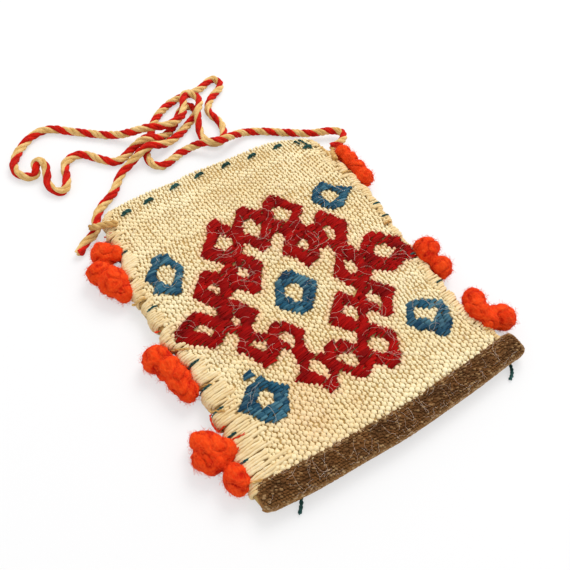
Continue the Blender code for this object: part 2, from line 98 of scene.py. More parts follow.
class Value:
    """A socket; arithmetic on it adds Math nodes to its tree."""

    def __init__(self, tree, socket):
        self.tree, self.socket = tree, socket

    def math(self, operation, *others):
        node = self.tree.nodes.new("ShaderNodeMath")
        node.operation = operation
        for place, item in enumerate((self, *others)):
            put(self.tree, node.inputs[place], item)
        return Value(self.tree, node.outputs[0])

    def __add__(self, other):
        return self.math("ADD", other)

    def __sub__(self, other):
        return self.math("SUBTRACT", other)

    def __mul__(self, other):
        return self.math("MULTIPLY", other)

    def __rsub__(self, other):
        return (self * -1.0).math("ADD", other)

    __radd__, __rmul__ = __add__, __mul__

    def clamped(self):
        return self.math("MAXIMUM", 0.0).math("MINIMUM", 1.0)


def put(tree, socket, item):
    """Link a value to a socket, or set the socket to a plain number or colour."""
    if isinstance(item, Value):
        tree.links.new(item.socket, socket)
    else:
        socket.default_value = item


class Finish:
    """One material with a Principled shader, built from expressions."""

    def __init__(self, name, roughness, sheen=0.04):
        self.material = bpy.data.materials.new(name)
        self.material.use_nodes = True
        self.tree = self.material.node_tree
        self.shader = self.tree.nodes["Principled BSDF"]
        self.shader.inputs["Roughness"].default_value = roughness
        self.shader.inputs["Specular IOR Level"].default_value = WOOL_SPECULAR
        self.shader.inputs["Sheen Weight"].default_value = sheen
        self.shader.inputs["Sheen Roughness"].default_value = SHEEN_ROUGHNESS
        self.place = self.node("ShaderNodeTexCoord", output="Object")

    def node(self, kind, settings=None, sockets=None, output=0):
        """Any node: its type, its settings and the values or links of its sockets."""
        node = self.tree.nodes.new(kind)
        for name, value in (settings or {}).items():
            setattr(node, name, value)
        for name, item in (sockets or {}).items():
            put(self.tree, node.inputs[name], item)
        return Value(self.tree, node.outputs[output])

    def attribute(self, name):
        return self.node("ShaderNodeAttribute", {"attribute_name": name}, output="Fac")

    def axis(self, number):
        """One coordinate of the place that is shaded."""
        return self.node("ShaderNodeSeparateXYZ", None, {0: self.place}, output=number)

    def noise(self, scale, detail=2.0, stretch=None):
        """Smooth noise from 0 to 1; stretch draws it out along an axis."""
        place = self.place
        if stretch:
            turn, size = stretch
            place = self.node("ShaderNodeMapping", {"vector_type": "POINT"},
                              {"Vector": place, "Rotation": turn, "Scale": size})
        sockets = {"Vector": place, "Scale": scale, "Detail": detail, "Roughness": 0.5}
        return self.node("ShaderNodeTexNoise", None, sockets, output="Fac")

    def mix(self, share, first, second, blend="MIX"):
        """Two colours mixed by a share."""
        settings = {"data_type": "RGBA", "blend_type": blend, "clamp_factor": True}
        return self.node("ShaderNodeMix", settings, {0: share, 6: rgba(first), 7: rgba(second)}, output=2)

    def ramp(self, value, low, high):
        """Value mapped so that low becomes 0 and high becomes 1."""
        return ((value - low) * (1.0 / (high - low))).clamped()

    def bump(self, height, distance, strength=1.0):
        normal = self.node("ShaderNodeBump", None,
                           {"Height": height, "Distance": distance, "Strength": strength}, output="Normal")
        put(self.tree, self.shader.inputs["Normal"], normal)

    def colour(self, value):
        put(self.tree, self.shader.inputs["Base Color"], rgba(value))
        return self.material


def rgba(colour):
    """A colour for a socket; a link stays a link."""
    return colour if isinstance(colour, Value) else (*colour, 1.0)


def srgb(red, green, blue):
    """Linear colour from the 0 to 255 values that a screen shows."""
    return tuple((value / 255 / 12.92) if value <= 10 else ((value / 255 + 0.055) / 1.055) ** 2.4
                 for value in (red, green, blue))


print("white in linear light:", srgb(255, 255, 255))

# %% [markdown]
# ## Light and floor
#
# Wool shows its colour best in plain, soft light. A pale world fills the shadows, and
# one wide lamp from the upper right gives every thread a soft lit side. The floor is
# matt white. To the camera part of it glows at a strength of 1, so it stays nearly
# white while it keeps the shadow of the pouch.

# %% Add the floor, the world and the lamp
FLOOR_GLOW = 0.55
WORLD_STRENGTH = 0.80
LAMP_POWER, LAMP_SIZE = 7.4, 0.6
LAMP_PLACE = Vector((0.55, 0.45, 0.85))
FLOOR_REACH = 3


def add_floor():
    """A plain pale floor that looks nearly white and keeps the shadow."""
    mesh = bpy.data.meshes.new("floor")
    corners = [(x * FLOOR_REACH, y * FLOOR_REACH, 0) for x, y in ((-1, -1), (1, -1), (1, 1), (-1, 1))]
    mesh.from_pydata(corners, [], [(0, 1, 2, 3)])
    floor = bpy.data.objects.new("floor", mesh)
    bpy.context.scene.collection.objects.link(floor)
    paint = Finish("floor_white", 0.9, sheen=0.0)
    mesh.materials.append(paint.colour((0.86, 0.86, 0.87)))
    direct, mirrored, through = (paint.node("ShaderNodeLightPath", output=f"Is {kind} Ray")
                                 for kind in ("Camera", "Glossy", "Transmission"))
    seen = direct.math("MAXIMUM", mirrored).math("MAXIMUM", through)
    glow = paint.node("ShaderNodeEmission", None, {"Color": (1, 1, 1, 1), "Strength": 1.0})
    matt = Value(paint.tree, paint.shader.outputs["BSDF"])
    both = paint.node("ShaderNodeMixShader", None, {0: seen * FLOOR_GLOW, 1: matt, 2: glow})
    output = paint.tree.nodes["Material Output"]
    paint.tree.links.new(both.socket, output.inputs["Surface"])
    return floor


def add_light():
    """A pale world and one wide lamp."""
    world = bpy.data.worlds.new("soft_room")
    world.use_nodes = True
    background = world.node_tree.nodes["Background"]
    background.inputs["Color"].default_value = (1.0, 1.0, 1.0, 1.0)
    background.inputs["Strength"].default_value = WORLD_STRENGTH
    bpy.context.scene.world = world
    lamp = bpy.data.lights.new("window", "AREA")
    lamp.shape, lamp.energy = "RECTANGLE", LAMP_POWER
    lamp.size = lamp.size_y = LAMP_SIZE
    lamp.color = (1.0, 0.985, 0.96)
    source = bpy.data.objects.new("window", lamp)
    turn = LAMP_PLACE.to_track_quat("Z", "Y").to_matrix().to_4x4()
    source.matrix_world = Matrix.Translation(LAMP_PLACE) @ turn
    bpy.context.scene.collection.objects.link(source)
    return lamp


add_floor()
bpy.context.scene.view_settings.view_transform = "Standard"
print("lamp of", add_light().energy, "watts")

# %% [markdown]
# ## Growing yarn with Geometry Nodes
#
# Three things repeat on this pouch: yarns that follow a path, small rounded floats of
# the weave, and loose fibres. Each has one tree. A tree is built here in the script,
# with named inputs for its sizes and its seed, and it ends in Realize Instances and
# Set Material, so the result is a plain mesh.

# %% Helpers for Geometry Nodes
class Steps:
    """A Geometry Nodes tree with named inputs."""

    def __init__(self, name, inputs):
        self.tree = bpy.data.node_groups.new(name, "GeometryNodeTree")
        face = self.tree.interface
        face.new_socket(name="Geometry", in_out="INPUT", socket_type="NodeSocketGeometry")
        kinds = {float: "NodeSocketFloat", int: "NodeSocketInt"}
        for key, value in inputs.items():
            kind = kinds.get(type(value), "NodeSocketMaterial")
            socket = face.new_socket(name=key, in_out="INPUT", socket_type=kind)
            if value is not None:
                socket.default_value = value
        face.new_socket(name="Geometry", in_out="OUTPUT", socket_type="NodeSocketGeometry")
        self.start = self.tree.nodes.new("NodeGroupInput")
        self.end = self.tree.nodes.new("NodeGroupOutput")

    def given(self, name):
        return self.start.outputs[name]

    def node(self, kind, settings=None, sockets=None):
        """Any node: its type, its settings and the values or links of its sockets."""
        node = self.tree.nodes.new(kind)
        for name, value in (settings or {}).items():
            setattr(node, name, value)
        for name, item in (sockets or {}).items():
            if isinstance(item, bpy.types.NodeSocket):
                self.tree.links.new(item, node.inputs[name])
            else:
                node.inputs[name].default_value = item
        return node

    def attribute(self, name, kind="FLOAT"):
        node = self.node("GeometryNodeInputNamedAttribute", {"data_type": kind}, {"Name": name})
        return node.outputs["Attribute"]

    def close(self, geometry):
        """Realize, smooth, set the material and hand over."""
        real = self.node("GeometryNodeRealizeInstances", None, {"Geometry": geometry})
        smooth = self.node("GeometryNodeSetShadeSmooth", None, {"Geometry": real.outputs[0]})
        painted = self.node("GeometryNodeSetMaterial", None,
                            {"Geometry": smooth.outputs[0], "Material": self.given("Material")})
        self.tree.links.new(painted.outputs[0], self.end.inputs[0])
        return self.tree


def grow(name, carrier, tree, inputs):
    """Run a tree on a carrier mesh; keep the result as a plain mesh that stays above the ground."""
    piece = bpy.data.objects.new(name, carrier)
    bpy.context.scene.collection.objects.link(piece)
    modifier = piece.modifiers.new("grow", "NODES")
    modifier.node_group = tree
    for item in tree.interface.items_tree:
        if item.in_out == "INPUT" and item.name in inputs:
            modifier[item.identifier] = inputs[item.name]
    depsgraph = bpy.context.evaluated_depsgraph_get()
    mesh = bpy.data.meshes.new_from_object(piece.evaluated_get(depsgraph), depsgraph=depsgraph)
    places = np.empty(3 * len(mesh.vertices), np.float32)
    mesh.vertices.foreach_get("co", places)
    places[2::3] = np.maximum(places[2::3], 0.0)
    mesh.vertices.foreach_set("co", places)
    piece.modifiers.remove(modifier)
    piece.data = mesh
    mesh.name = name
    return piece


def finish_piece(piece, slot, *nodes):
    """Make a piece ride on the pouch and let it replace its nodes; the slot is not used."""
    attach(piece, "root")
    if nodes:
        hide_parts(*nodes)
    piece.data.calc_loop_triangles()
    TALLY[piece.name] = len(piece.data.loop_triangles)
    print(f"{piece.name}: {TALLY[piece.name]} triangles")
    return piece


TALLY = {}


def yarn_tree():
    """Tubes along the edges of the carrier; width and tone come from its points."""
    steps = Steps("yarns", {"Sides": 5, "Material": None})
    lines = steps.node("GeometryNodeMeshToCurve", None, {"Mesh": steps.start.outputs[0]})
    ring = steps.node("GeometryNodeCurvePrimitiveCircle", None,
                      {"Resolution": steps.given("Sides"), "Radius": 1.0})
    tubes = steps.node("GeometryNodeCurveToMesh", None,
                       {"Curve": lines.outputs[0], "Profile Curve": ring.outputs[0],
                        "Scale": steps.attribute("width"), "Fill Caps": True})
    return steps.close(tubes.outputs[0])


def grain_tree():
    """A small bean on each point of the carrier, with its ends bent down."""
    steps = Steps("grains", {"Segments": 6, "Rings": 4, "Droop": 0.35, "Material": None})
    ball = steps.node("GeometryNodeMeshUVSphere", None,
                      {"Segments": steps.given("Segments"), "Rings": steps.given("Rings"), "Radius": 1.0})
    lying = steps.node("GeometryNodeTransform", None,
                       {"Geometry": ball.outputs[0], "Rotation": (0.0, math.pi / 2, 0.0)})
    place = steps.node("GeometryNodeInputPosition")
    parts = steps.node("ShaderNodeSeparateXYZ", None, {0: place.outputs[0]})
    square = steps.node("ShaderNodeMath", {"operation": "MULTIPLY"}, {0: parts.outputs[0], 1: parts.outputs[0]})
    drop = steps.node("ShaderNodeMath", {"operation": "MULTIPLY"},
                      {0: square.outputs[0], 1: steps.given("Droop")})
    down = steps.node("ShaderNodeMath", {"operation": "MULTIPLY"}, {0: drop.outputs[0], 1: -1.0})
    shift = steps.node("ShaderNodeCombineXYZ", None, {2: down.outputs[0]})
    # Each point's height on the bean is kept as rise; the cream material paints shade where it is low.
    rise = steps.node("GeometryNodeStoreNamedAttribute", {"data_type": "FLOAT", "domain": "POINT"},
                      {"Geometry": lying.outputs[0], "Name": "rise", "Value": parts.outputs[2]})
    bean = steps.node("GeometryNodeSetPosition", None,
                      {"Geometry": rise.outputs[0], "Offset": shift.outputs[0]})
    turn = steps.node("FunctionNodeEulerToRotation", None, {0: steps.attribute("turn", "FLOAT_VECTOR")})
    placed = steps.node("GeometryNodeInstanceOnPoints", None,
                        {"Points": steps.start.outputs[0], "Instance": bean.outputs[0],
                         "Rotation": turn.outputs[0], "Scale": steps.attribute("size", "FLOAT_VECTOR")})
    return steps.close(placed.outputs[0])


def fibre_tree():
    """Bent fibres scattered over the faces of the carrier, each turned at random."""
    steps = Steps("fibres", {"Density": 100000.0, "Length": 0.004, "Thickness": 0.00005, "Lift": 0.4,
                             "Seed": 1, "Material": None})
    spread = steps.node("GeometryNodeDistributePointsOnFaces", {"distribute_method": "RANDOM"},
                        {"Mesh": steps.start.outputs[0], "Density": steps.given("Density"),
                         "Seed": steps.given("Seed")})
    middle = steps.node("ShaderNodeCombineXYZ", None, {0: 0.45, 2: steps.given("Lift")})
    tip = steps.node("ShaderNodeCombineXYZ", None, {0: 0.85, 1: 0.35, 2: steps.given("Lift")})
    bend = steps.node("GeometryNodeCurveQuadraticBezier", None,
                      {"Resolution": 4, "Start": (0.0, 0.0, -0.05), "Middle": middle.outputs[0],
                       "End": tip.outputs[0]})
    sized = steps.node("GeometryNodeTransform", None, {"Geometry": bend.outputs[0]})
    length = steps.node("ShaderNodeCombineXYZ", None,
                        {0: steps.given("Length"), 1: steps.given("Length"), 2: steps.given("Length")})
    steps.tree.links.new(length.outputs[0], sized.inputs["Scale"])
    ring = steps.node("GeometryNodeCurvePrimitiveCircle", None,
                      {"Resolution": 3, "Radius": steps.given("Thickness")})
    hair = steps.node("GeometryNodeCurveToMesh", None,
                      {"Curve": sized.outputs[0], "Profile Curve": ring.outputs[0], "Fill Caps": True})
    spin = steps.node("FunctionNodeRandomValue", {"data_type": "FLOAT_VECTOR"},
                      {"Min": (-0.35, -0.35, 0.0), "Max": (0.35, 0.35, 2 * math.pi),
                       "Seed": steps.given("Seed")})
    spun = steps.node("FunctionNodeEulerToRotation", None, {0: spin.outputs[0]})
    turn = steps.node("FunctionNodeRotateRotation", {"rotation_space": "LOCAL"},
                      {"Rotation": spread.outputs["Rotation"], "Rotate By": spun.outputs[0]})
    size = steps.node("FunctionNodeRandomValue", {"data_type": "FLOAT_VECTOR"},
                      {"Min": (0.5, 0.5, 0.5), "Max": (1.3, 1.3, 1.0), "Seed": steps.given("Seed")})
    placed = steps.node("GeometryNodeInstanceOnPoints", None,
                        {"Points": spread.outputs["Points"], "Instance": hair.outputs[0],
                         "Rotation": turn.outputs[0], "Scale": size.outputs[0]})
    return steps.close(placed.outputs[0])


YARNS, GRAINS, FIBRES = yarn_tree(), grain_tree(), fibre_tree()
print("trees:", [tree.name for tree in (YARNS, GRAINS, FIBRES)])

# %% [markdown]
# ## Carriers
#
# A tree needs something to grow on. For yarns it is a wire mesh: a chain of points for
# each yarn, with the yarn's half thickness and its tone stored on the points. A yarn
# of two or more plies is a few such chains, wound round one path.

# %% Helpers for yarn
def running_length(points):
    """Length along a polyline at each of its points."""
    return np.concatenate([[0.0], np.cumsum(np.linalg.norm(np.diff(points, axis=0), axis=1))])


def read_evenly(points, count):
    """Points at equal steps along a polyline."""
    run = running_length(points)
    stations = np.linspace(0.0, run[-1], count)
    return np.stack([np.interp(stations, run, points[:, axis]) for axis in range(3)], axis=1)


def rounded(points, times):
    """Points of a line, each drawn towards its two neighbours a few times over."""
    for _ in range(times):
        points[1:-1] = (points[:-2] + 2 * points[1:-1] + points[2:]) / 4
    return points


def unit(vectors):
    """The same directions with a length of one."""
    return vectors / np.linalg.norm(vectors, axis=1)[:, None]


def store(mesh, name, values):
    """Keep one number, or one vector, on each point of a mesh."""
    values = np.asarray(values, np.float32)
    kind, key = ("FLOAT_VECTOR", "vector") if values.ndim > 1 else ("FLOAT", "value")
    mesh.attributes.new(name, kind, "POINT").data.foreach_set(key, values.ravel())


def yarn_wire(name, lines):
    """Mesh of chains; each line is its points, its half thickness and its tone."""
    points, edges, widths, tones = [], [], [], []
    base = 0
    for path, width, tone in lines:
        count = len(path)
        points.append(path)
        first = np.arange(base, base + count - 1)
        edges.append(np.stack([first, first + 1], axis=1))
        widths.append(np.broadcast_to(width, (count,)))
        tones.append(np.full(count, tone))
        base += count
    mesh = bpy.data.meshes.new(name)
    mesh.from_pydata(np.concatenate(points).tolist(), np.concatenate(edges).tolist(), [])
    store(mesh, "width", np.concatenate(widths))
    store(mesh, "tone", np.concatenate(tones))
    return mesh


def add_yarns(name, lines, sides, material, slot, *nodes):
    """A piece of yarns that rides on the pouch."""
    carrier = yarn_wire(name + "_lines", lines)
    return finish_piece(grow(name, carrier, YARNS, {"Sides": sides, "Material": material}), slot, *nodes)


def nodes_named(start):
    """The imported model's nodes whose names start with the given word."""
    return [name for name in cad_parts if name.startswith(start)]


def tapered(count, width, end_share=0.35):
    """Half thickness along a yarn that thins at both ends."""
    widths = np.full(count, width)
    widths[0] = widths[-1] = width * end_share
    return widths


def smooth_path(route, count):
    """Even points on a smooth curve through a short listed route."""
    route = np.asarray(route, float)
    return read_evenly(rounded(read_evenly(route, 8 * len(route)), 10), count)


def carried_frames(path):
    """Two cross directions at each point of a path, carried along it without twist."""
    tangents = unit(np.gradient(path, axis=0))
    side = np.cross(tangents[0], (0.0, 0.0, 1.0))
    if np.linalg.norm(side) < 0.1:
        side = np.cross(tangents[0], (1.0, 0.0, 0.0))
    sides = []
    for tangent in tangents:
        side = side - tangent * np.dot(side, tangent)
        side = side / np.linalg.norm(side)
        sides.append(side)
    sides = np.array(sides)
    return sides, np.cross(sides, tangents)


def plied(path, plies, radius, lead, tone, start=0.0):
    """Chains of a yarn whose plies wind round its path, each half as thick as the yarn."""
    sides, ups = carried_frames(path)
    run = running_length(path)
    lines = []
    for ply in range(plies):
        angle = start + 2 * math.pi * ply / plies - 2 * math.pi * run / lead
        offset = radius * 0.5 * (np.cos(angle)[:, None] * sides + np.sin(angle)[:, None] * ups)
        lines.append((path + offset, tapered(len(path), radius * 0.55), tone + 0.06 * (ply % 2)))
    return lines


print("a lead of 3 mm turns a ply", round(0.01 / 0.003, 1), "times in 10 mm")

# %% [markdown]
# ## The strap
#
# The strap is one cord of four plies, two red and two tan, twisted to the left. It
# starts at the left corner of the mouth, lies in a tangle above the pouch, and ends in
# a small knot at the right corner. The route is given as a list of points and then
# rounded. Its sharpest kinks still bend closer than two diameters. The plies wind round
# that route, faster where the cord is pulled straight and slower in the loose loops.

# %% The route of the strap
STRAP_DIAMETER = 0.0042
STRAP_ROUTE = (
    (-74.5, 58.5, 2.2), (-69.6, 63.4, 2.4), (-63.6, 65.8, 3.2), (-62.0, 71.6, 3.8),
    (-57.2, 78.4, 3.0), (-47.8, 86.2, 2.2), (-41.6, 95.0, 2.2), (-31.6, 100.7, 4.0),
    (-24.0, 102.4, 8.0), (-14.4, 104.4, 3.8), (-4.4, 109.6, 2.2), (5.2, 116.5, 2.2),
    (12.2, 122.6, 2.2), (10.4, 129.4, 2.2), (4.6, 126.8, 2.2), (-1.2, 119.6, 2.2),
    (-9.4, 112.4, 2.2), (-15.2, 108.9, 4.6), (-21.8, 108.4, 8.0), (-30.2, 107.8, 4.0),
    (-38.6, 104.0, 2.2), (-45.4, 109.4, 2.2), (-53.0, 117.4, 2.2), (-61.6, 113.8, 2.2),
    (-63.8, 104.0, 2.2), (-68.2, 95.6, 2.2), (-73.0, 101.8, 2.2), (-71.2, 109.4, 3.8),
    (-70.2, 114.8, 6.8), (-74.4, 116.8, 6.6), (-75.2, 110.6, 2.6), (-83.4, 117.0, 2.2),
    (-78.6, 130.6, 2.2), (-62.8, 141.6, 2.2), (-48.2, 132.6, 2.2), (-32.0, 121.6, 3.0),
    (-19.0, 115.2, 7.8), (-8.8, 113.0, 7.4), (1.6, 117.4, 6.8), (6.0, 125.4, 6.8),
    (10.6, 134.0, 7.0), (15.4, 126.4, 7.0), (9.4, 116.0, 6.8), (6.2, 107.6, 3.6),
    (5.2, 100.8, 2.2), (10.8, 95.0, 2.2), (17.0, 101.2, 2.2), (19.2, 111.4, 2.2),
    (17.2, 119.4, 2.2), (24.0, 129.6, 2.2), (34.4, 137.6, 2.2), (33.0, 145.0, 2.2),
    (21.0, 138.6, 2.2), (4.4, 135.6, 2.2), (-10.0, 125.8, 2.2), (-18.2, 113.8, 2.2),
    (-25.6, 99.8, 2.2), (-22.4, 92.2, 2.2), (-6.4, 98.0, 2.2), (3.4, 96.0, 5.2),
    (10.0, 91.6, 7.2), (17.6, 94.4, 5.2), (28.0, 96.8, 2.2), (46.6, 87.4, 2.2),
    (58.0, 79.6, 3.6), (65.8, 77.6, 4.0), (72.4, 73.4, 4.0), (67.4, 67.4, 3.8), (60.6, 67.0, 3.6),
)
ROUTE_ROUNDING = 11


def through_points(route, steps):
    """Centripetal curve through the route's points, read at several steps a stretch."""
    points = [np.array(point, float) for point in route]
    points = [2 * points[0] - points[1], *points, 2 * points[-1] - points[-2]]
    result = []
    for before, start, end, after in zip(points, points[1:], points[2:], points[3:]):
        knots = [0.0]
        for first, second in ((before, start), (start, end), (end, after)):
            knots.append(knots[-1] + math.sqrt(np.linalg.norm(second - first)))
        k0, k1, k2, k3 = knots
        for step in range(steps):
            at = k1 + (k2 - k1) * step / steps
            a1 = ((k1 - at) * before + (at - k0) * start) / (k1 - k0)
            a2 = ((k2 - at) * start + (at - k1) * end) / (k2 - k1)
            a3 = ((k3 - at) * end + (at - k2) * after) / (k3 - k2)
            b1 = ((k2 - at) * a1 + (at - k0) * a2) / (k2 - k0)
            b2 = ((k3 - at) * a2 + (at - k1) * a3) / (k3 - k1)
            result.append(((k2 - at) * b1 + (at - k1) * b2) / (k2 - k1))
    result.append(points[-2])
    return np.array(result)


def strap_centreline():
    """The strap's route as a soft cord takes it: rounded bends, never below the ground."""
    points = through_points(STRAP_ROUTE, 8) * MM
    points = read_evenly(points, round(running_length(points)[-1] / (STRAP_DIAMETER / 4)) + 1)
    points = rounded(points, ROUTE_ROUNDING)
    points[:, 2] = np.maximum(points[:, 2], STRAP_DIAMETER / 2)
    return points


strap_line = strap_centreline()
strap_length = float(running_length(strap_line)[-1])
print("strap length", round(strap_length, 3), "m")

# %% [markdown]
# The plies are tubes in one mesh. The dye of each ply is stored on its points, so one
# material can colour them all. The two tan plies lie side by side with a groove
# between them, and the two red ones are felted together.

# %% Make the strap
PLY_STEP = 0.0008
PLY_OFFSET, PLY_RADIUS = 0.00106, 0.00098
PLY_DYE = (0.0, 0.0, 1.0, 1.0)
PLY_ANGLE = (0.0, 1.35, 2.95, 4.45)


def lead_at(run, total):
    """Length of one turn: short in the pulled right part, long in the loose left part."""
    share = run / total
    slow = 0.0160 + 0.0034 * np.sin(share * 23.0) + 0.0020 * np.sin(share * 61.0 + 1.0)
    pulled = np.clip((share - 0.80) / 0.05, 0.0, 1.0)
    return slow * (1 - pulled) + 0.0104 * pulled


def make_rope():
    """Four plies wound to the left round the centreline."""
    path = read_evenly(strap_line, round(strap_length / PLY_STEP) + 1)
    run = running_length(path)
    sides, ups = carried_frames(path)
    turns = np.cumsum(np.diff(run) / lead_at(run, strap_length)[1:])
    turned = -2 * math.pi * np.concatenate([[0.0], turns])
    lines, dyes = [], []
    for number, (dye, start) in enumerate(zip(PLY_DYE, PLY_ANGLE)):
        swell = 1 + 0.07 * np.sin(run * 900 + number * 2.1) + 0.05 * np.sin(run * 2300 + number)
        angle = start + turned
        out = PLY_OFFSET * (1 + 0.05 * np.sin(run * 700 + number))
        offset = out[:, None] * (np.cos(angle)[:, None] * sides + np.sin(angle)[:, None] * ups)
        lines.append((path + offset, PLY_RADIUS * swell, 0.35 + 0.1 * number))
        dyes.append(np.full(len(path), dye))
    mesh = yarn_wire("strap_plies", lines)
    store(mesh, "dye", np.concatenate(dyes))
    return mesh


def strap_finish():
    """Red and tan wool, chosen by the dye on the ply, with slanted fibres."""
    paint = Finish("strap_wool", 0.85)
    fine = paint.noise(2600.0, 3.0, ((0.0, 0.0, 0.6), (1.0, 0.28, 1.0)))
    slow = paint.noise(260.0, 2.0)
    red = paint.mix(paint.ramp(slow, 0.35, 0.7), srgb(172, 10, 3), srgb(218, 28, 8))
    red = paint.mix(paint.ramp(fine, 0.5, 0.75) * 0.35, red, srgb(236, 66, 34))
    tan = paint.mix(paint.ramp(slow, 0.3, 0.72), srgb(206, 158, 82), srgb(240, 204, 138))
    tan = paint.mix(paint.ramp(fine, 0.45, 0.75) * 0.5, tan, srgb(246, 222, 166))
    paint.bump(fine, 0.00025, 0.8)
    return paint.colour(paint.mix(paint.attribute("dye"), red, tan))


strap_wool = strap_finish()
strap = grow("strap_rope", make_rope(), YARNS, {"Sides": 8, "Material": strap_wool})
finish_piece(strap, "strap_yarn", "strap_cord")

# %% [markdown]
# ## The shape of the cloth
#
# All threads of the pouch lie on one surface. Its two numbers are the warp end,
# counted from the middle, and the weft pick, counted from the fold. The side edges
# wander as hand-woven ones do, the section is a flat cushion, and the front has slow
# waves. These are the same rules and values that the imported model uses.

# %% Cloth values and surface
ENDS, PICKS, END_PITCH, PICK_PITCH = 72, 120, 0.00160, 0.00126
HALF_ENDS, HALF_WIDTH = ENDS / 2, ENDS * END_PITCH / 2
RIDGE_DEPTH, GAP, WALL = 0.00012, 0.0003, 0.0016
LEFT_EDGE = -0.0605
RIGHT_EDGE = LEFT_EDGE + ENDS * END_PITCH
FOLD_Y, MOUTH_Y = -0.0740, 0.0770
POUCH_DEPTH, SQUARENESS, BACK_FLATTENING = 0.0080, 5.0, 1.03
SCALLOP_PITCH, SCALLOP_DEPTH, PUCKER_HEIGHT = 0.0102, 0.0012, 0.00035
SEAM_INSET, FOLD_INSET = 0.0030, 0.0060
BAND_WIDTH, BAND_WALL, BAND_OVERHANG = 0.0085, 0.0016, 0.0060
LEFT_WANDER = (0.0000, -0.0004, -0.0016, -0.0021, -0.0020, 0.0006, 0.0018, 0.0033, 0.0004, 0.0000, -0.0026)
RIGHT_WANDER = (0.0028, 0.0010, -0.0016, -0.0012, -0.0014, -0.0008, 0.0012, 0.0025, 0.0019, 0.0000, -0.0028)
MOUTH_WANDER = (-0.0050, -0.0036, -0.0018, 0.0002, 0.0012, 0.0014, -0.0022)
FOLD_WANDER = (0.0016, 0.0002, 0.0000, -0.0002, 0.0008, 0.0022, 0.0040)


def wander(values, share):
    """Smooth curve through values at equal steps, read at shares from 0 to 1."""
    values = np.asarray(values, float)
    place = np.clip(share, 0.0, 1.0) * (len(values) - 1)
    step = np.minimum(place.astype(int), len(values) - 2)
    rest = place - step
    start, end = values[step], values[step + 1]
    slope_start = (end - values[np.maximum(step - 1, 0)]) / 2
    slope_end = (values[np.minimum(step + 2, len(values) - 1)] - start) / 2
    square, cube = rest * rest, rest ** 3
    return (start * (2 * cube - 3 * square + 1) + slope_start * (cube - 2 * square + rest)
            + end * (3 * square - 2 * cube) + slope_end * (cube - square))


def flat_place(u, t, inset=0.0):
    """X and Y on the pouch; u runs from -1 to 1 across it, t from 0 at the fold to 1."""
    lobes = round((MOUTH_Y - FOLD_Y) / SCALLOP_PITCH)
    scallop = SCALLOP_DEPTH * (np.abs(np.sin(math.pi * lobes * t)) - 0.5)
    fade = np.clip(np.abs(u) * 3 - 2, 0.0, 1.0)
    left = LEFT_EDGE - wander(LEFT_WANDER, t) - scallop * fade
    right = RIGHT_EDGE + wander(RIGHT_WANDER, t) + scallop * fade
    x = (left + right) / 2 + u * ((right - left) / 2 - inset)
    fold = FOLD_Y + wander(FOLD_WANDER, (u + 1) / 2)
    mouth = MOUTH_Y + wander(MOUTH_WANDER, (u + 1) / 2)
    return x, fold + t * (mouth - fold)


def fold_taper(t):
    """Share of the full depth near the fold, where the two layers close up."""
    reach = (BAND_WIDTH + FOLD_INSET) / (MOUTH_Y - FOLD_Y)
    least = (2 * WALL + GAP) / POUCH_DEPTH
    return least + (1 - least) * np.sin(np.clip(t / reach, 0.0, 1.0) * math.pi / 2)


def cloth_lift(t):
    """Height of the underside: it rises at the fold to make room for the band."""
    share = np.clip(t * (MOUTH_Y - FOLD_Y) / (BAND_WIDTH + FOLD_INSET), 0.0, 1.0)
    return (BAND_WALL + GAP) * (1 - share)


def section_height(u, t, face):
    """Z of the front (face 1) or the back (face -1) of the pouch."""
    depth = POUCH_DEPTH * fold_taper(t)
    round_share = (1 - np.clip(np.abs(u), 0.0, 1.0) ** SQUARENESS) ** (1 / SQUARENESS)
    middle = cloth_lift(t) + depth / 2
    if face > 0:
        wave = PUCKER_HEIGHT * np.sin(2.6 * u + 5.2 * t) * np.sin(9.0 * t - 3.1 * u) * (1 - u * u)
        return middle + depth / 2 * round_share + wave
    return middle - depth / 2 * np.minimum(1.0, BACK_FLATTENING * round_share)


def cloth_point(end, pick, above, face=1):
    """Points over the cloth, raised by a height along the direction out of it."""
    u, t = np.asarray(end, float) / HALF_ENDS, np.asarray(pick, float) / PICKS
    x, y = flat_place(u, t)
    z = section_height(u, t, face)
    step = 0.004
    x2, _ = flat_place(u + step, t)
    z2 = section_height(u + step, t, face)
    x1, _ = flat_place(u - step, t)
    z1 = section_height(u - step, t, face)
    run, rise = x2 - x1, z2 - z1
    size = np.hypot(run, rise) + 1e-9
    out = face * above
    return np.stack([x - face * out * rise / size, y, z + out * run / size], axis=-1)


print("cloth", round(RIGHT_EDGE - LEFT_EDGE, 4), "by", round(MOUTH_Y - FOLD_Y, 4), "m")

# %% [markdown]
# ## The diamonds as outlines
#
# The brocade is woven in with extra weft: red rings joined corner to corner round the
# middle, and five blue rings. Their outlines, in ends and picks, were traced from the
# photo by a separate script and simplified; they weren't drawn by hand. The ground
# weave leaves room for them, so they come first.

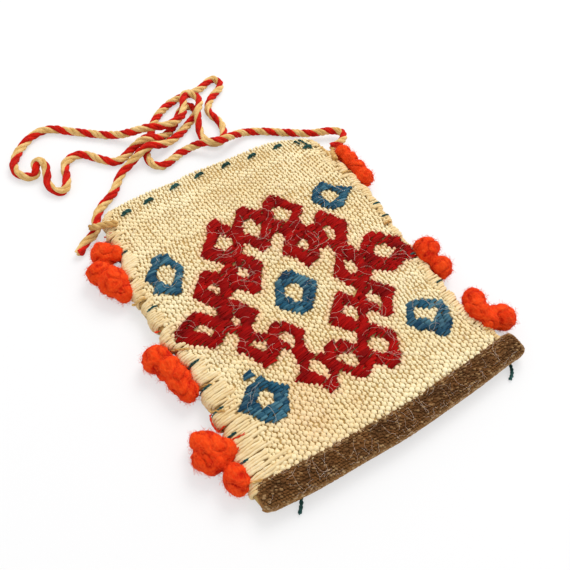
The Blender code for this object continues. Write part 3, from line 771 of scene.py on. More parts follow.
# %% Outlines of the brocade, in ends from the middle and picks from the fold
RED_OUTLINES = (
    ((17, 80), (14.5, 75.5), (12.5, 75.5), (11.5, 78), (12, 81), (13.5, 81.5), (15, 85), (13, 87.5), (11, 92.5),
     (9, 95), (6, 94.5), (4.5, 91), (3, 90.5), (0, 95), (-2, 95.5), (-6, 89), (-8, 92), (-8.5, 95), (-11, 95),
     (-12.5, 94), (-12.5, 91.5), (-17, 83.5), (-13, 76.5), (-15.5, 74), (-18.5, 77), (-20, 77), (-25, 70),
     (-21.5, 63), (-22, 60), (-23, 59.5), (-26, 63.5), (-28.5, 64), (-33.5, 60.5), (-33.5, 59), (-34.5, 57.5),
     (-28.5, 50.5), (-26, 50), (-23.5, 53), (-21.5, 51.5), (-21.5, 49.5), (-24.5, 45.5), (-23, 44), (-20, 36),
     (-17, 36.5), (-15, 39.5), (-13, 38.5), (-12, 35.5), (-13, 33), (-12.5, 31.5), (-13.5, 30.5), (-13, 29.5),
     (-15.5, 28.5), (-9.5, 21.5), (-10, 20), (-7, 19.5), (-7.5, 21.5), (-4.5, 24.5), (-1, 19), (1, 19), (4, 21),
     (5.5, 20), (6.5, 17), (9, 17), (11.5, 19.5), (10.5, 20.5), (12.5, 21.5), (14, 26), (9, 33), (10, 34),
     (10, 36), (11.5, 36.5), (13, 36), (14.5, 32), (17, 32), (19.5, 36.5), (22.5, 39), (17.5, 46.5), (20, 48),
     (20.5, 49.5), (26, 45.5), (32, 48), (35.6, 47.0), (35.8, 52.0), (34.6, 54.5), (35, 57.5), (31, 60),
     (30.5, 62), (27.5, 63), (24.5, 62.5), (24.5, 61), (23, 60.5), (21.5, 58), (20, 59), (21, 60), (19.5, 61.5),
     (20, 64), (23.5, 70.5), (19, 79.5)),
    ((-15.5, 60.5), (-17.5, 63.5), (-14.5, 66), (-12, 63.5), (-11.5, 61.5), (-8.5, 61), (-8.5, 62.5), (-4, 70.5),
     (-7.5, 77), (-5.5, 80.5), (-4, 80), (-3, 76), (-2, 75), (0.5, 75), (2.5, 79.5), (4.5, 79.5), (5.5, 76.5),
     (1.5, 70.5), (4, 68), (6, 61.5), (10, 62), (11.5, 65.5), (14, 66), (15, 63.5), (14.5, 60), (10, 54.5),
     (10.5, 53.5), (11.5, 49), (13, 47), (13, 45.5), (10.5, 43), (8, 47.5), (6.5, 47.5), (0, 40), (5, 32.5),
     (3.5, 29.5), (2.5, 29), (0.5, 32), (-3, 34), (-5, 33.5), (-5.5, 31), (-7.5, 32), (-9, 34.5), (-8, 39.5),
     (-6.5, 41), (-9.5, 47), (-12.5, 48.5), (-16, 46), (-18, 48.5), (-17, 51), (-13, 54.5)),
    ((7, 22), (5, 25.5), (6, 28), (8, 29), (10.5, 26.5), (11, 24.5), (8, 21.5)),
    ((-20, 71.5), (-19, 71.5), (-18, 70.5), (-18, 67.5), (-19, 66.5), (-20.5, 69)),
    ((-13.5, 42), (-13.5, 43), (-11, 44.5), (-9.5, 41.5), (-11, 38), (-12, 38.5), (-12.5, 41)),
    ((15.5, 51), (14.5, 51.5), (14.5, 54.5), (15.5, 57.5), (16, 57.5), (17.5, 56.5), (18, 55), (17, 51.5)),
    ((-27, 60), (-25, 56.5), (-26, 54.5), (-27, 54), (-29.5, 58)),
    ((7, 82.5), (5.5, 85), (6.5, 86.5), (6.5, 89), (8.5, 90), (10, 88.5), (11.5, 84.5), (8.5, 81.5)),
    ((0, 22.5), (-1, 22.5), (-4, 27), (-3, 29.5), (-1, 29), (1.5, 27), (1, 24)),
    ((6.5, 36.5), (4.5, 40.5), (7, 42.5), (9.5, 40), (8.5, 37.5), (7.5, 36.5), (8, 35.5), (6.5, 35)),
    ((18.5, 70), (18, 67.5), (17, 66.5), (15.5, 67), (16, 73), (18, 73)),
    ((-9, 69), (-10, 67), (-11, 68), (-12, 70.5), (-10.5, 73), (-9, 71.5)),
    ((-4, 84), (-3, 86.5), (-3.5, 87.5), (-1.5, 90), (0.5, 89), (1, 86), (2.5, 86), (0, 81.5), (-1, 80.5),
     (-2, 81), (-2.5, 83)),
    ((-7.5, 25.5), (-7.5, 24), (-8.5, 23.5), (-11.5, 29), (-10, 31.5), (-8.5, 31.5), (-7, 28.5), (-6.5, 27)),
    ((30, 52.5), (27, 50.5), (24, 54), (26, 57), (29.5, 57.5), (30, 55), (32, 53.5)),
    ((9, 72.5), (10, 72), (10, 70), (9.5, 67.5), (8.5, 67.5), (7, 69), (6.5, 70.5), (8, 72.5)),
    ((13.5, 41), (13.5, 42.5), (15, 43), (17.5, 40), (16.5, 37.5), (15, 35.5), (14, 35.5), (15, 36.5),
     (14, 37.5), (14, 39), (12.5, 40)),
    ((-19, 46.5), (-16.5, 44), (-17.5, 41.5), (-18.5, 41), (-21, 45)),
    ((-9, 81), (-11, 81), (-12.5, 84.5), (-10.5, 87.5), (-10, 89.5), (-7, 85), (-8, 81.5)),
    ((-20.5, 55.5), (-19, 57.5), (-18, 55), (-19.5, 53), (-21, 52.5)),
)
BLUE_OUTLINES = (
    ((20.5, 81), (23, 78), (24, 79), (25.5, 78), (31.5, 86.5), (27.5, 88), (25, 92), (22.5, 91), (20, 89),
     (18.5, 85.5)),
    ((23, 81.5), (22, 83), (21.5, 86.5), (23, 88.5), (25.5, 88), (27, 84.5), (25.5, 82.5)),
    ((-31.5, 84.5), (-30.5, 80.5), (-32, 77.5), (-30, 76.5), (-28, 73.5), (-26.5, 73.5), (-22, 82.5), (-24, 86.5),
     (-24.5, 90), (-29, 91.5), (-29, 88.5)),
    ((-27.5, 87), (-25, 86), (-24, 82.5), (-25.5, 79.5), (-27.5, 77.5), (-28.5, 78.5), (-28.5, 80),
     (-29.5, 81.5), (-28.5, 85.5)),
    ((-4, 47), (-1.5, 46.5), (5, 54.5), (1, 63), (-1, 63.5), (-4.5, 61.5), (-8.5, 54), (-7.5, 51.5)),
    ((-1.5, 51.5), (-2.5, 50.5), (-4, 51.5), (-4, 53.5), (-5, 55), (-4, 56.5), (-3.5, 58.5), (-1, 59),
     (0.5, 58), (0.5, 54)),
    ((-24.5, 37.5), (-26, 37), (-26.5, 35.5), (-25.5, 35), (-23.5, 36), (-23.5, 36.5)),
    ((-30, 28.5), (-31, 28), (-28.5, 24), (-26.5, 20.5), (-23, 19.5), (-20.5, 21.0), (-19.5, 25), (-18, 27.5),
     (-22, 32.5), (-22.5, 34.5), (-27.5, 32.5)),
    ((-26, 24.5), (-26.5, 27.5), (-24.5, 31), (-22.5, 29.5), (-22, 27.5), (-23, 24.5)),
    ((26.5, 17), (29.5, 20), (30, 22.5), (31.5, 23.5), (31, 26.5), (31.5, 27.5), (25, 32), (21.5, 32), (18, 26),
     (19, 25), (20, 22.5), (22, 21.5), (23.5, 17), (24.5, 16.5)),
    ((21, 26), (22, 28.5), (23.5, 30.5), (26.5, 27.5), (28.5, 26.5), (29, 25.5), (24.5, 22.5), (23.5, 25)),
)


def inside(outlines, ends, picks):
    """True where a point lies in the area that the outlines bound, holes left out."""
    ends, picks = np.asarray(ends, float), np.asarray(picks, float)
    result = np.zeros(ends.shape, bool)
    for outline in outlines:
        for (x1, y1), (x2, y2) in zip(outline, outline[1:] + outline[:1]):
            if y1 == y2:
                continue
            crosses = (picks > min(y1, y2)) & (picks <= max(y1, y2))
            result ^= crosses & (ends < x1 + (picks - y1) * (x2 - x1) / (y2 - y1))
    return result


def row_spans(outlines, pick):
    """Stretches of one pick that lie inside the outlines."""
    cuts = []
    for outline in outlines:
        for (x1, y1), (x2, y2) in zip(outline, outline[1:] + outline[:1]):
            if min(y1, y2) < pick <= max(y1, y2):
                cuts.append(x1 + (pick - y1) * (x2 - x1) / (y2 - y1))
    cuts.sort()
    return list(zip(cuts[::2], cuts[1::2]))


def in_brocade(ends, picks):
    """True where a point lies in a red or a blue diamond."""
    return inside(RED_OUTLINES, ends, picks) | inside(BLUE_OUTLINES, ends, picks)


print("red outlines", len(RED_OUTLINES), "blue outlines", len(BLUE_OUTLINES))

# %% [markdown]
# ## The ground weave
#
# Plain weave shows a float of weft, then a float of warp, like a chessboard. On this
# cloth the weft floats are fat bright beans, and the warp between them is thinner and
# lies lower. Each float is one bean from the grain tree. The script works out where
# the crossings are, how thick the yarn is there, and how far each bean is turned.
# Near the side edges the beans give way to long floats, which come later.

# %% Crossings of the weave
COLUMNS, ROWS = 66, 128
WEFT_SLANT = math.radians(7)
WEFT_DEPTH, WARP_DEPTH, DEPTH_SPREAD = 0.00014, 0.00030, 0.00006
WEFT_SIZE, WARP_SIZE = (0.00102, 0.00093, 0.00062), (0.00086, 0.00056, 0.00058)
WEAVE_UNDER_RIBS = 0.62
LEFT_REACH = (14.0, 15.5, 14.0, 10.5, 9.5, 6.5, 5.0, 5.5, 5.5, 6.0, 6.0, 5.0, 3.5)
RIGHT_REACH = (4.0, 4.5, 5.0, 8.0, 6.0, 4.0, 4.0, 4.5, 5.5, 7.0, 7.0, 5.0, 3.5)


def rib_reach(side, pick):
    """How far in from a side edge the long floats run, in metres."""
    values = LEFT_REACH if side < 0 else RIGHT_REACH
    return np.interp(np.asarray(pick, float) / PICKS, np.linspace(0, 1, len(values)), values) * MM


def column_end(column):
    """Warp end of a column: the yarn is a little thicker on the right of the cloth."""
    return -HALF_ENDS + column + (ENDS - COLUMNS) / COLUMNS ** 2 * column ** 2


def slow_noise(rng, count, smooth):
    """Random values from -1 to 1 that change slowly along a yarn."""
    values = rng.standard_normal(count + 8 * smooth)
    kernel = np.hanning(2 * smooth + 1)
    values = np.convolve(values, kernel / math.sqrt((kernel ** 2).sum()), mode="same")
    return np.clip(values[4 * smooth:4 * smooth + count], -2, 2) / 2


def crossings():
    """Column, row, end and pick of every crossing, with slow shifts of both yarns."""
    rng = np.random.default_rng(11)
    columns, rows = np.meshgrid(np.arange(COLUMNS), np.arange(ROWS), indexing="ij")
    bow = slow_noise(rng, COLUMNS, 6)[:, None] * 0.5 + slow_noise(rng, ROWS, 10)[None, :] * 0.35
    ends = column_end(columns + 0.5) + rng.normal(0, 0.10, columns.shape)
    ends = ends + slow_noise(rng, ROWS, 7)[None, :] * 0.35
    picks = (rows + 0.5) * PICKS / ROWS + bow + rng.normal(0, 0.10, columns.shape)
    return columns, rows, ends, picks


def bleed_share(ends, picks):
    """How much red lies close by, from 0 to 1."""
    total = np.zeros(np.shape(ends))
    for angle in np.linspace(0, 2 * math.pi, 8, endpoint=False):
        total += inside(RED_OUTLINES, ends + 1.5 * math.cos(angle), picks + 2.0 * math.sin(angle))
    return total / 8


def grain_mesh(name, points, along, out, sizes, tones, bleed=None):
    """Carrier of points with a turn, a size and a tone each."""
    along = unit(along)
    across = unit(np.cross(out, along))
    out = np.cross(along, across)
    turn = np.stack([np.arctan2(across[:, 2], out[:, 2]), -np.arcsin(np.clip(along[:, 2], -1, 1)),
                     np.arctan2(along[:, 1], along[:, 0])], axis=1)
    mesh = bpy.data.meshes.new(name)
    mesh.from_pydata(points.tolist(), [], [])
    store(mesh, "turn", turn)
    store(mesh, "size", sizes)
    store(mesh, "tone", tones)
    if bleed is not None:
        store(mesh, "bleed", bleed)
    return mesh


def weave_carrier(name, weft, face, seed):
    """Points of the weft floats or the warp floats on one face of the cloth."""
    columns, rows, ends, picks = crossings()
    rng = np.random.default_rng(seed)
    weft_yarn = slow_noise(rng, ROWS, 2)[None, :] + rng.normal(0, 0.35, columns.shape)
    warp_yarn = slow_noise(rng, COLUMNS, 2)[:, None] + rng.normal(0, 0.35, columns.shape)
    keep = ((columns + rows) % 2 == 0) == weft
    if face > 0:
        keep &= ~in_brocade(ends, picks)
    inset = (HALF_ENDS - np.abs(ends)) * END_PITCH
    reach = rib_reach(-1, picks) * (ends < 0) + rib_reach(1, picks) * (ends >= 0)
    keep &= inset > reach * WEAVE_UNDER_RIBS
    ends, picks = ends[keep], picks[keep]
    thick = (weft_yarn if weft else warp_yarn)[keep]
    height = -WEFT_DEPTH if weft else -WARP_DEPTH
    points = cloth_point(ends, picks, height + DEPTH_SPREAD * thick, face)
    side = cloth_point(ends + 0.4, picks, height, face) - cloth_point(ends - 0.4, picks, height, face)
    up = cloth_point(ends, picks + 0.4, height, face) - cloth_point(ends, picks - 0.4, height, face)
    out = np.cross(side, up) * face
    side, up = unit(side), unit(up)
    lean = WEFT_SLANT + rng.normal(0, 0.15, len(ends))
    if weft:
        along = side * np.cos(lean)[:, None] + up * np.sin(lean)[:, None]
        size, spread = WEFT_SIZE, (0.14, 0.20, 0.16)
    else:
        along = up * np.cos(lean * 0.5)[:, None] - side * np.sin(lean * 0.5)[:, None]
        size, spread = WARP_SIZE, (0.10, 0.25, 0.0)
    sizes = np.stack([part * (1 + share * thick) for part, share in zip(size, spread)], 1)
    tones = np.clip(0.5 + 0.22 * thick + rng.normal(0, 0.12, len(ends)), 0, 1)
    return grain_mesh(name, points, along, out, sizes, tones, bleed_share(ends, picks) * (face > 0))


GAP_SHADE = 0.75
STAIN_X, STAIN_Y = -0.027, -0.052


def cream_finish():
    """Undyed wool: warm cream, painted shade in olive tan at the low edge of each float, pink near the red, tan
    in a stain.
    """
    paint = Finish("cream_wool_floats", 0.86)
    tone = paint.attribute("tone")
    fine = paint.noise(1900.0, 3.0, ((0.0, 0.0, 0.2), (0.35, 1.0, 1.0)))
    slow = paint.noise(38.0, 3.0)
    pale = paint.mix(paint.ramp(slow, 0.35, 0.68), srgb(246, 226, 178), srgb(252, 240, 200))
    pale = paint.mix(tone, paint.mix(0.45, pale, srgb(226, 194, 134)), pale)
    pale = paint.mix(paint.ramp(fine, 0.5, 0.8) * 0.4, pale, srgb(255, 252, 226))
    # Painted shade: the lower part of each float is mixed towards olive tan, so dark lines show between the
    # floats.
    low = 1 - paint.ramp(paint.attribute("rise"), -0.25, 0.40)
    pale = paint.mix(low * GAP_SHADE, pale, srgb(168, 134, 78))
    pale = paint.mix(paint.attribute("bleed") * 0.70, pale, srgb(240, 164, 126))
    across, along = paint.axis(0) - STAIN_X, paint.axis(1) - STAIN_Y
    spot = 1 - paint.ramp((across * across + along * along) * 1000, 0.05, 0.50)
    pale = paint.mix(spot * paint.ramp(slow, 0.3, 0.6) * 0.5, pale, srgb(232, 184, 128))
    stain = paint.noise(75.0, 2.0)
    pale = paint.mix(paint.ramp(stain, 0.60, 0.78) * 0.35, pale, srgb(226, 180, 116))
    paint.bump(fine, 0.00022, 0.7)
    return paint.colour(pale)


cream_wool = cream_finish()
for piece_name, weft, face, seed, segments, rings, droop in (
        ("weft_floats", True, 1, 21, 7, 4, 0.38), ("warp_floats", False, 1, 22, 5, 3, 0.38),
        ("back_weft_floats", True, -1, 23, 4, 3, 0.2), ("back_warp_floats", False, -1, 24, 4, 3, 0.2)):
    floats = grow(piece_name, weave_carrier(piece_name + "_points", weft, face, seed), GRAINS,
                  {"Segments": segments, "Rings": rings, "Droop": droop, "Material": cream_wool})
    finish_piece(floats, "cream_wool")

# %% [markdown]
# ## The body of the cloth
#
# Between the floats one looks into the depth of the cloth. A closed shell just under
# the floats fills it: it goes round the pouch, over the rim of the mouth and down
# the inside to the fold, as the real cloth does. It is a darker olive tan than the
# floats, as painted shade in the gaps between them.

# %% Make the body of the cloth
SHELL_SINK = 0.00042
SHELL_COLUMNS, SHELL_ROWS, LINING_ROWS = 30, 60, 24


def section_ring(t, sink, inner=False):
    """Closed ring of points round the pouch, a little inside its faces."""
    u = -np.cos(np.linspace(0, math.pi, SHELL_COLUMNS))
    share = np.full(len(u), t)
    inset = SEAM_INSET if inner else sink
    x, y = flat_place(u, share, inset)
    if inner:
        round_share = (1 - np.abs(u) ** SQUARENESS) ** (1 / SQUARENESS)
        half = (POUCH_DEPTH / 2 - WALL) * fold_taper(t)
        top, low = POUCH_DEPTH / 2 + half * round_share, POUCH_DEPTH / 2 - half * round_share
    else:
        top, low = section_height(u, share, 1) - sink, section_height(u, share, -1) + sink
        top = np.maximum(top, low)
    front = np.stack([x, y, top], axis=1)
    back = np.stack([x, y, low], axis=1)[-2:0:-1]
    return np.concatenate([front, back])


def make_shell():
    """Outside from the fold to the mouth, then inside back down to the fold."""
    rings = [section_ring(t, SHELL_SINK) for t in np.linspace(0.012, 0.998, SHELL_ROWS)]
    floor = (FOLD_INSET + BAND_WIDTH) / (MOUTH_Y - FOLD_Y)
    rings += [section_ring(t, 0.0, True) for t in np.linspace(0.996, floor, LINING_ROWS)]
    return closed_tube("cloth_body", rings)


def outward(mesh):
    """Turn the faces of a closed mesh outwards and make it smooth."""
    shape = bmesh.new()
    shape.from_mesh(mesh)
    bmesh.ops.remove_doubles(shape, verts=shape.verts, dist=0.000001)
    bmesh.ops.recalc_face_normals(shape, faces=shape.faces)
    shape.to_mesh(mesh)
    shape.free()
    mesh.shade_smooth()
    return mesh


def closed_tube(name, rings):
    """A closed mesh through rings of points, with a face across each end."""
    size, last = len(rings[0]), (len(rings) - 1) * len(rings[0])
    faces = [(base + k, base + (k + 1) % size, base + size + (k + 1) % size, base + size + k)
             for base in range(0, last, size) for k in range(size)]
    faces += [tuple(range(size)), tuple(range(last, last + size))]
    mesh = bpy.data.meshes.new(name)
    mesh.from_pydata(np.concatenate(rings).tolist(), [], faces)
    return outward(mesh)


def body_painted_shade_finish():
    """The body of the cloth: olive tan, darker than the floats as painted shade in the gaps between them, and a
    little uneven.
    """
    paint = Finish("cloth_depth_painted_shade", 0.95)
    fine = paint.noise(900.0, 3.0)
    # Painted shade: the body is a darker olive tan than the floats, so the gaps between them and the inside of
    # the pouch look shaded.
    shade = paint.mix(paint.ramp(fine, 0.3, 0.7), srgb(172, 138, 80), srgb(206, 174, 114))
    paint.bump(fine, 0.0005, 0.8)
    return paint.colour(shade)


def new_piece(name, mesh, material):
    """An object for a mesh that was made in script."""
    piece = bpy.data.objects.new(name, mesh)
    bpy.context.scene.collection.objects.link(piece)
    mesh.materials.append(material)
    return piece


cloth_body = new_piece("cloth_body", make_shell(), body_painted_shade_finish())
finish_piece(cloth_body, "cream_wool", "pouch_cloth")

# %% [markdown]
# ## The long floats at the sides
#
# Along both sides the weft leaves the weave and runs in long loose floats, which go
# round the edge to the back. The sewing pulls them together into rounded lobes. Each
# float is a yarn on the surface of the cloth. Close to the edge it is drawn towards
# the middle of its lobe, and it stands out furthest there.

# %% Make the side floats
LEFT_NOTCHES = (3.5, 8.5, 13.3, 17.0, 20.3, 24.5, 31.5, 39.5, 47.7, 54.7, 64.0, 76.0, 86.0, 98.5, 106.5,
                111.5, 118.5)
RIGHT_NOTCHES = (8.0, 12.5, 18.0, 25.5, 31.0, 38.0, 48.0, 54.5, 57.5, 64.5, 70.0, 77.5, 88.0, 95.0, 101.5,
                 111.0, 118.5)
RIB_PITCH, RIB_HALF = 0.92, 0.00062
RIB_SLANT = math.radians(9)
FRONT_INSETS = (1.0, 0.93, 0.72, 0.5, 0.32, 0.18, 0.09, 0.035, 0.0)
BACK_INSETS, BACK_REACH = (0.035, 0.1, 0.22, 0.42, 0.5), 0.009
INSET_STEP = 0.0005


def lobe_of(pick, notches):
    """Middle of the lobe that a pick belongs to, and the pick's place in it from -1 to 1."""
    for low, high in zip(notches, notches[1:]):
        if low <= pick < high:
            middle = (low + high) / 2
            return middle, (pick - middle) / ((high - low) / 2)
    return pick, 0.0


def clear_reach(side, pick, reach):
    """The reach of a float, cut short where it would run into the brocade."""
    insets = np.arange(INSET_STEP, reach + INSET_STEP, INSET_STEP)
    ends = side * (HALF_ENDS - insets / END_PITCH)
    picks = pick - side * insets * math.tan(RIB_SLANT) / PICK_PITCH
    hits = in_brocade(ends, picks)
    return max(0.0014, float(insets[np.argmax(hits)]) - 0.0007) if hits.any() else reach


def side_float(side, pick, rng):
    """One long float from the front, round the edge, to the back."""
    notches = LEFT_NOTCHES if side < 0 else RIGHT_NOTCHES
    middle, place = lobe_of(pick, notches)
    swell = 0.0015 * math.sqrt(max(0.0, 1 - place * place)) - 0.0007
    swell = swell * (1 + 0.5 * math.sin(middle * 1.7)) if side < 0 else 0.35 * swell
    reach = clear_reach(side, pick, float(rib_reach(side, pick)) * rng.uniform(0.5, 1.25))
    stations = [(share * reach, 1) for share in FRONT_INSETS]
    stations += [(share * BACK_REACH, -1) for share in BACK_INSETS]
    points = []
    for number, (inset, face) in enumerate(stations):
        near = max(0.0, 1 - inset / 0.006)
        u = side * (1 - inset / HALF_WIDTH)
        slope = inset * math.tan(RIB_SLANT) * -side
        t = pick / PICKS + (middle - pick) / PICKS * (0.15 if side < 0 else 0.06) * near
        x, y = flat_place(np.array([u]), np.array([t]))
        z = section_height(np.array([u]), np.array([t]), face)
        at_end = number in (0, len(stations) - 1)
        raised = -0.0003 if at_end else 0.00028 * min(1.0, number / 2)
        height = max(float(z[0]) + face * raised, RIB_HALF * 0.9)
        points.append((float(x[0]) + near * swell * side, float(y[0]) + slope, height))
    path = np.array(points)
    return smooth_path(path + rng.normal(0, 0.00010, path.shape), 20)


def side_floats(side, seed):
    """All long floats of one side."""
    rng = np.random.default_rng(seed)
    lines = []
    for pick in np.arange(4.2, PICKS - 1.0, RIB_PITCH):
        path = side_float(side, pick + rng.normal(0, 0.1), rng)
        width = RIB_HALF * rng.uniform(0.85, 1.2)
        widths = tapered(len(path), width, 0.5) * (1 + 0.15 * np.sin(np.arange(len(path)) * 2.1 + pick))
        lines.append((path, widths, float(np.clip(rng.normal(0.6, 0.2), 0, 1))))
    return lines


def float_finish():
    """The same cream wool along a yarn: fibres run with it."""
    paint = Finish("cream_wool_yarn", 0.86)
    tone = paint.attribute("tone")
    fine = paint.noise(1900.0, 3.0, ((0.0, 0.0, 0.2), (0.3, 1.0, 1.0)))
    slow = paint.noise(90.0, 3.0)
    pale = paint.mix(paint.ramp(slow, 0.3, 0.7), srgb(228, 198, 142), srgb(248, 232, 190))
    pale = paint.mix(tone, paint.mix(0.6, pale, srgb(216, 180, 118)), pale)
    pale = paint.mix(paint.ramp(fine, 0.5, 0.8) * 0.4, pale, srgb(255, 252, 230))
    paint.bump(fine, 0.00022, 0.7)
    return paint.colour(pale)


cream_yarn = float_finish()
add_yarns("side_floats", side_floats(-1, 31) + side_floats(1, 32), 6, cream_yarn, "cream_wool")

# %% [markdown]
# ## The brocade
#
# Each row of the brocade is cut into floats of a few ends. A float lies over the
# ground weave, slants a little, and dives into the cloth at both ends. The red yarn is
# soft and felted, so each float is several thin strands side by side, and the rows run
# together. The blue yarn is thicker, and its floats stay apart.

# %% Make the brocade
def split_span(start, end, longest, chance):
    """Cut a stretch into floats of uneven length."""
    cuts = [start]
    while end - cuts[-1] > longest * 1.25:
        cuts.append(cuts[-1] + longest * chance.uniform(0.6, 1.1))
    cuts.append(end)
    return list(zip(cuts, cuts[1:]))


def brocade_strands(outlines, pitch, strands, width, longest, crown, seed):
    """Strands of every float inside the outlines."""
    chance = random.Random(seed)
    lines = []
    low = min(pick for outline in outlines for _, pick in outline)
    high = max(pick for outline in outlines for _, pick in outline)
    shares = np.array([0.0, 0.16, 0.5, 0.84, 1.0])
    heights = np.array([-0.35, 0.45, 0.62, 0.45, -0.35]) * crown
    row = low + pitch / 2
    while row < high:
        for start, end in row_spans(outlines, row):
            if end - start < 0.6:
                continue
            for first, last in split_span(start, end, longest, chance):
                middle = (first + last) / 2
                tone = min(max(chance.gauss(0.5, 0.22), 0.0), 1.0)
                first, last = first - chance.uniform(0.0, 0.35), last + chance.uniform(0.0, 0.35)
                turn = chance.uniform(-0.6, 0.6)
                for strand in range(strands):
                    across = (strand - (strands - 1) / 2) / strands * pitch
                    ends = first + (last - first) * shares
                    swirl = np.cos(turn + shares * 2.6 + strand * 0.9) * 0.17
                    lean = math.tan(WEFT_SLANT + chance.gauss(0.06, 0.02 * strands))
                    slant = (ends - middle) * END_PITCH / PICK_PITCH * lean
                    picks = row + across + slant + swirl + chance.gauss(0, 0.05)
                    lift = heights * (1 - 0.25 * abs(across) / pitch) + chance.gauss(0, 0.00009)
                    path = cloth_point(ends, picks, RIDGE_DEPTH + lift)
                    lines.append((path, tapered(len(path), width * chance.uniform(0.8, 1.2), 0.55),
                                  min(max(tone + chance.gauss(0, 0.1), 0.0), 1.0)))
        row += pitch
    return lines


def dyed_finish(name, deep, middle, light, shimmer):
    """Dyed wool: deep and middle dye mixed by slow noise, lighter on worn strands."""
    paint = Finish(name, 0.82, sheen=0.0)
    tone = paint.attribute("tone")
    fine = paint.noise(2200.0, 3.0, ((0.0, 0.0, 0.25), (0.3, 1.0, 1.0)))
    slow = paint.noise(120.0, 3.0)
    shade = paint.mix(paint.ramp(slow, 0.32, 0.68), deep, middle)
    shade = paint.mix(paint.ramp(tone, 0.35, 1.0) * 0.6, shade, light)
    shade = paint.mix(paint.ramp(fine, 0.55, 0.85) * shimmer, shade, light)
    paint.bump(fine, 0.0002, 0.7)
    return paint.colour(shade)


red_wool = dyed_finish("red_wool_brocade", srgb(110, 0, 0), srgb(156, 2, 0), srgb(192, 14, 4), 0.45)
blue_wool = dyed_finish("blue_wool_brocade", srgb(16, 46, 72), srgb(36, 88, 112), srgb(104, 150, 162), 0.6)
red_lines = brocade_strands(RED_OUTLINES, 0.92, 5, 0.00028, 4.2, 0.00100, 41)
add_yarns("red_brocade", red_lines, 5, red_wool, "red_wool", *nodes_named("red_motif"))
blue_lines = brocade_strands(BLUE_OUTLINES, 1.05, 3, 0.00038, 2.7, 0.00115, 42)
add_yarns("blue_brocade", blue_lines, 6, blue_wool, "blue_wool", *nodes_named("blue_motif"))

# %% [markdown]
# ## The goat-hair band
#
# The fold is bound with a strip of dark goat hair. Its threads show as rows of small
# beads. The core is a rounded strip, and the beads are grains from the same tree as
# the weave, laid in rows along it. At the right the strip ends in a small roll.

# %% Make the band
BAND_SIDES, BAND_STATIONS = 28, 90
BEAD_PITCH, BEAD_ROWS = 0.00105, 26
BAND_LENGTH, BAND_HALF = 0.124, 0.006
BEAD_SIZE, LEAST_BEAD = (0.00074, 0.00050, 0.00050), 0.00028


def band_place(share, angle, grow_by=0.0):
    """Point on the band at a share of its length and an angle round it."""
    share, angle = np.asarray(share, float), np.asarray(angle, float)
    zero = np.zeros_like(share)
    left = LEFT_EDGE - wander(LEFT_WANDER, zero) + SCALLOP_DEPTH / 2
    right = RIGHT_EDGE + wander(RIGHT_WANDER, zero) - SCALLOP_DEPTH / 2
    x = left + share * (right + BAND_OVERHANG - left)
    along = np.clip(2 * (x - left) / (right - left) - 1, -1.0, 1.0)
    fold = FOLD_Y + wander(FOLD_WANDER, (along + 1) / 2)
    depth = POUCH_DEPTH + 2 * GAP
    tip = np.minimum(share, 1 - share)
    right_end = share > 0.5
    closing = np.minimum(1.0, np.where(right_end, 12 * tip + 0.72, 12 * tip + 0.60))
    closing = closing * np.sqrt(1 - (1 - np.clip(tip / np.where(right_end, 0.034, 0.014), 0.06, 1.0)) ** 2)
    near = fold - BAND_WALL - GAP
    middle_y = near + (BAND_WIDTH + BAND_WALL) / 2
    half_y = (BAND_WIDTH + BAND_WALL) / 2 * (0.55 + 0.45 * closing) + grow_by
    half_z = depth / 2 * closing + grow_by
    y = middle_y + half_y * np.sign(np.cos(angle)) * np.abs(np.cos(angle)) ** 0.6
    z = depth / 2 + half_z * np.sign(np.sin(angle)) * np.abs(np.sin(angle)) ** 0.6
    return np.stack([x, y, z], axis=-1)


def make_band_core():
    """The rounded strip under the beads."""
    angles = np.linspace(0, 2 * math.pi, BAND_SIDES, endpoint=False)
    rings = [band_place(np.full(BAND_SIDES, share), angles, -0.0004)
             for share in np.linspace(0, 1, BAND_STATIONS)]
    return closed_tube("band_core", rings)


def bead_carrier():
    """Beads in rows along the band, staggered like the threads of a strip."""
    rng = np.random.default_rng(51)
    shares = np.arange(0.004, 0.998, BEAD_PITCH / BAND_LENGTH)
    turns = np.linspace(-0.30 * math.pi, 1.28 * math.pi, 400)
    run = running_length(band_place(np.full(400, 0.5), turns))
    angles = np.interp(np.linspace(0, run[-1], BEAD_ROWS), run, turns)
    share, angle = np.meshgrid(shares, angles, indexing="ij")
    stagger = (np.arange(BEAD_ROWS) % 2)[None, :] * BEAD_PITCH / BAND_LENGTH / 2
    share = share + stagger + rng.normal(0, 0.0008, share.shape)
    angle = angle + rng.normal(0, 0.03, angle.shape)
    share, angle = np.clip(share.ravel(), 0.002, 0.998), angle.ravel()
    points = band_place(share, angle, -0.00005)
    along = band_place(np.minimum(share + 0.004, 1), angle) - band_place(np.maximum(share - 0.004, 0), angle)
    around = band_place(share, angle + 0.05) - band_place(share, angle - 0.05)
    out = np.cross(around, along)
    lean = rng.normal(0.4, 0.15, len(share))
    direction = unit(along) * np.cos(lean)[:, None] + unit(around) * np.sin(lean)[:, None]
    thick = rng.normal(0, 1, len(share))
    sizes = np.stack([part * (1 + spread * thick) for part, spread in zip(BEAD_SIZE, (0.12, 0.15, 0.1))], 1)
    sizes = np.maximum(sizes, LEAST_BEAD)
    return grain_mesh("band_points", points, direction, out, sizes, rng.uniform(0, 1, len(share)))


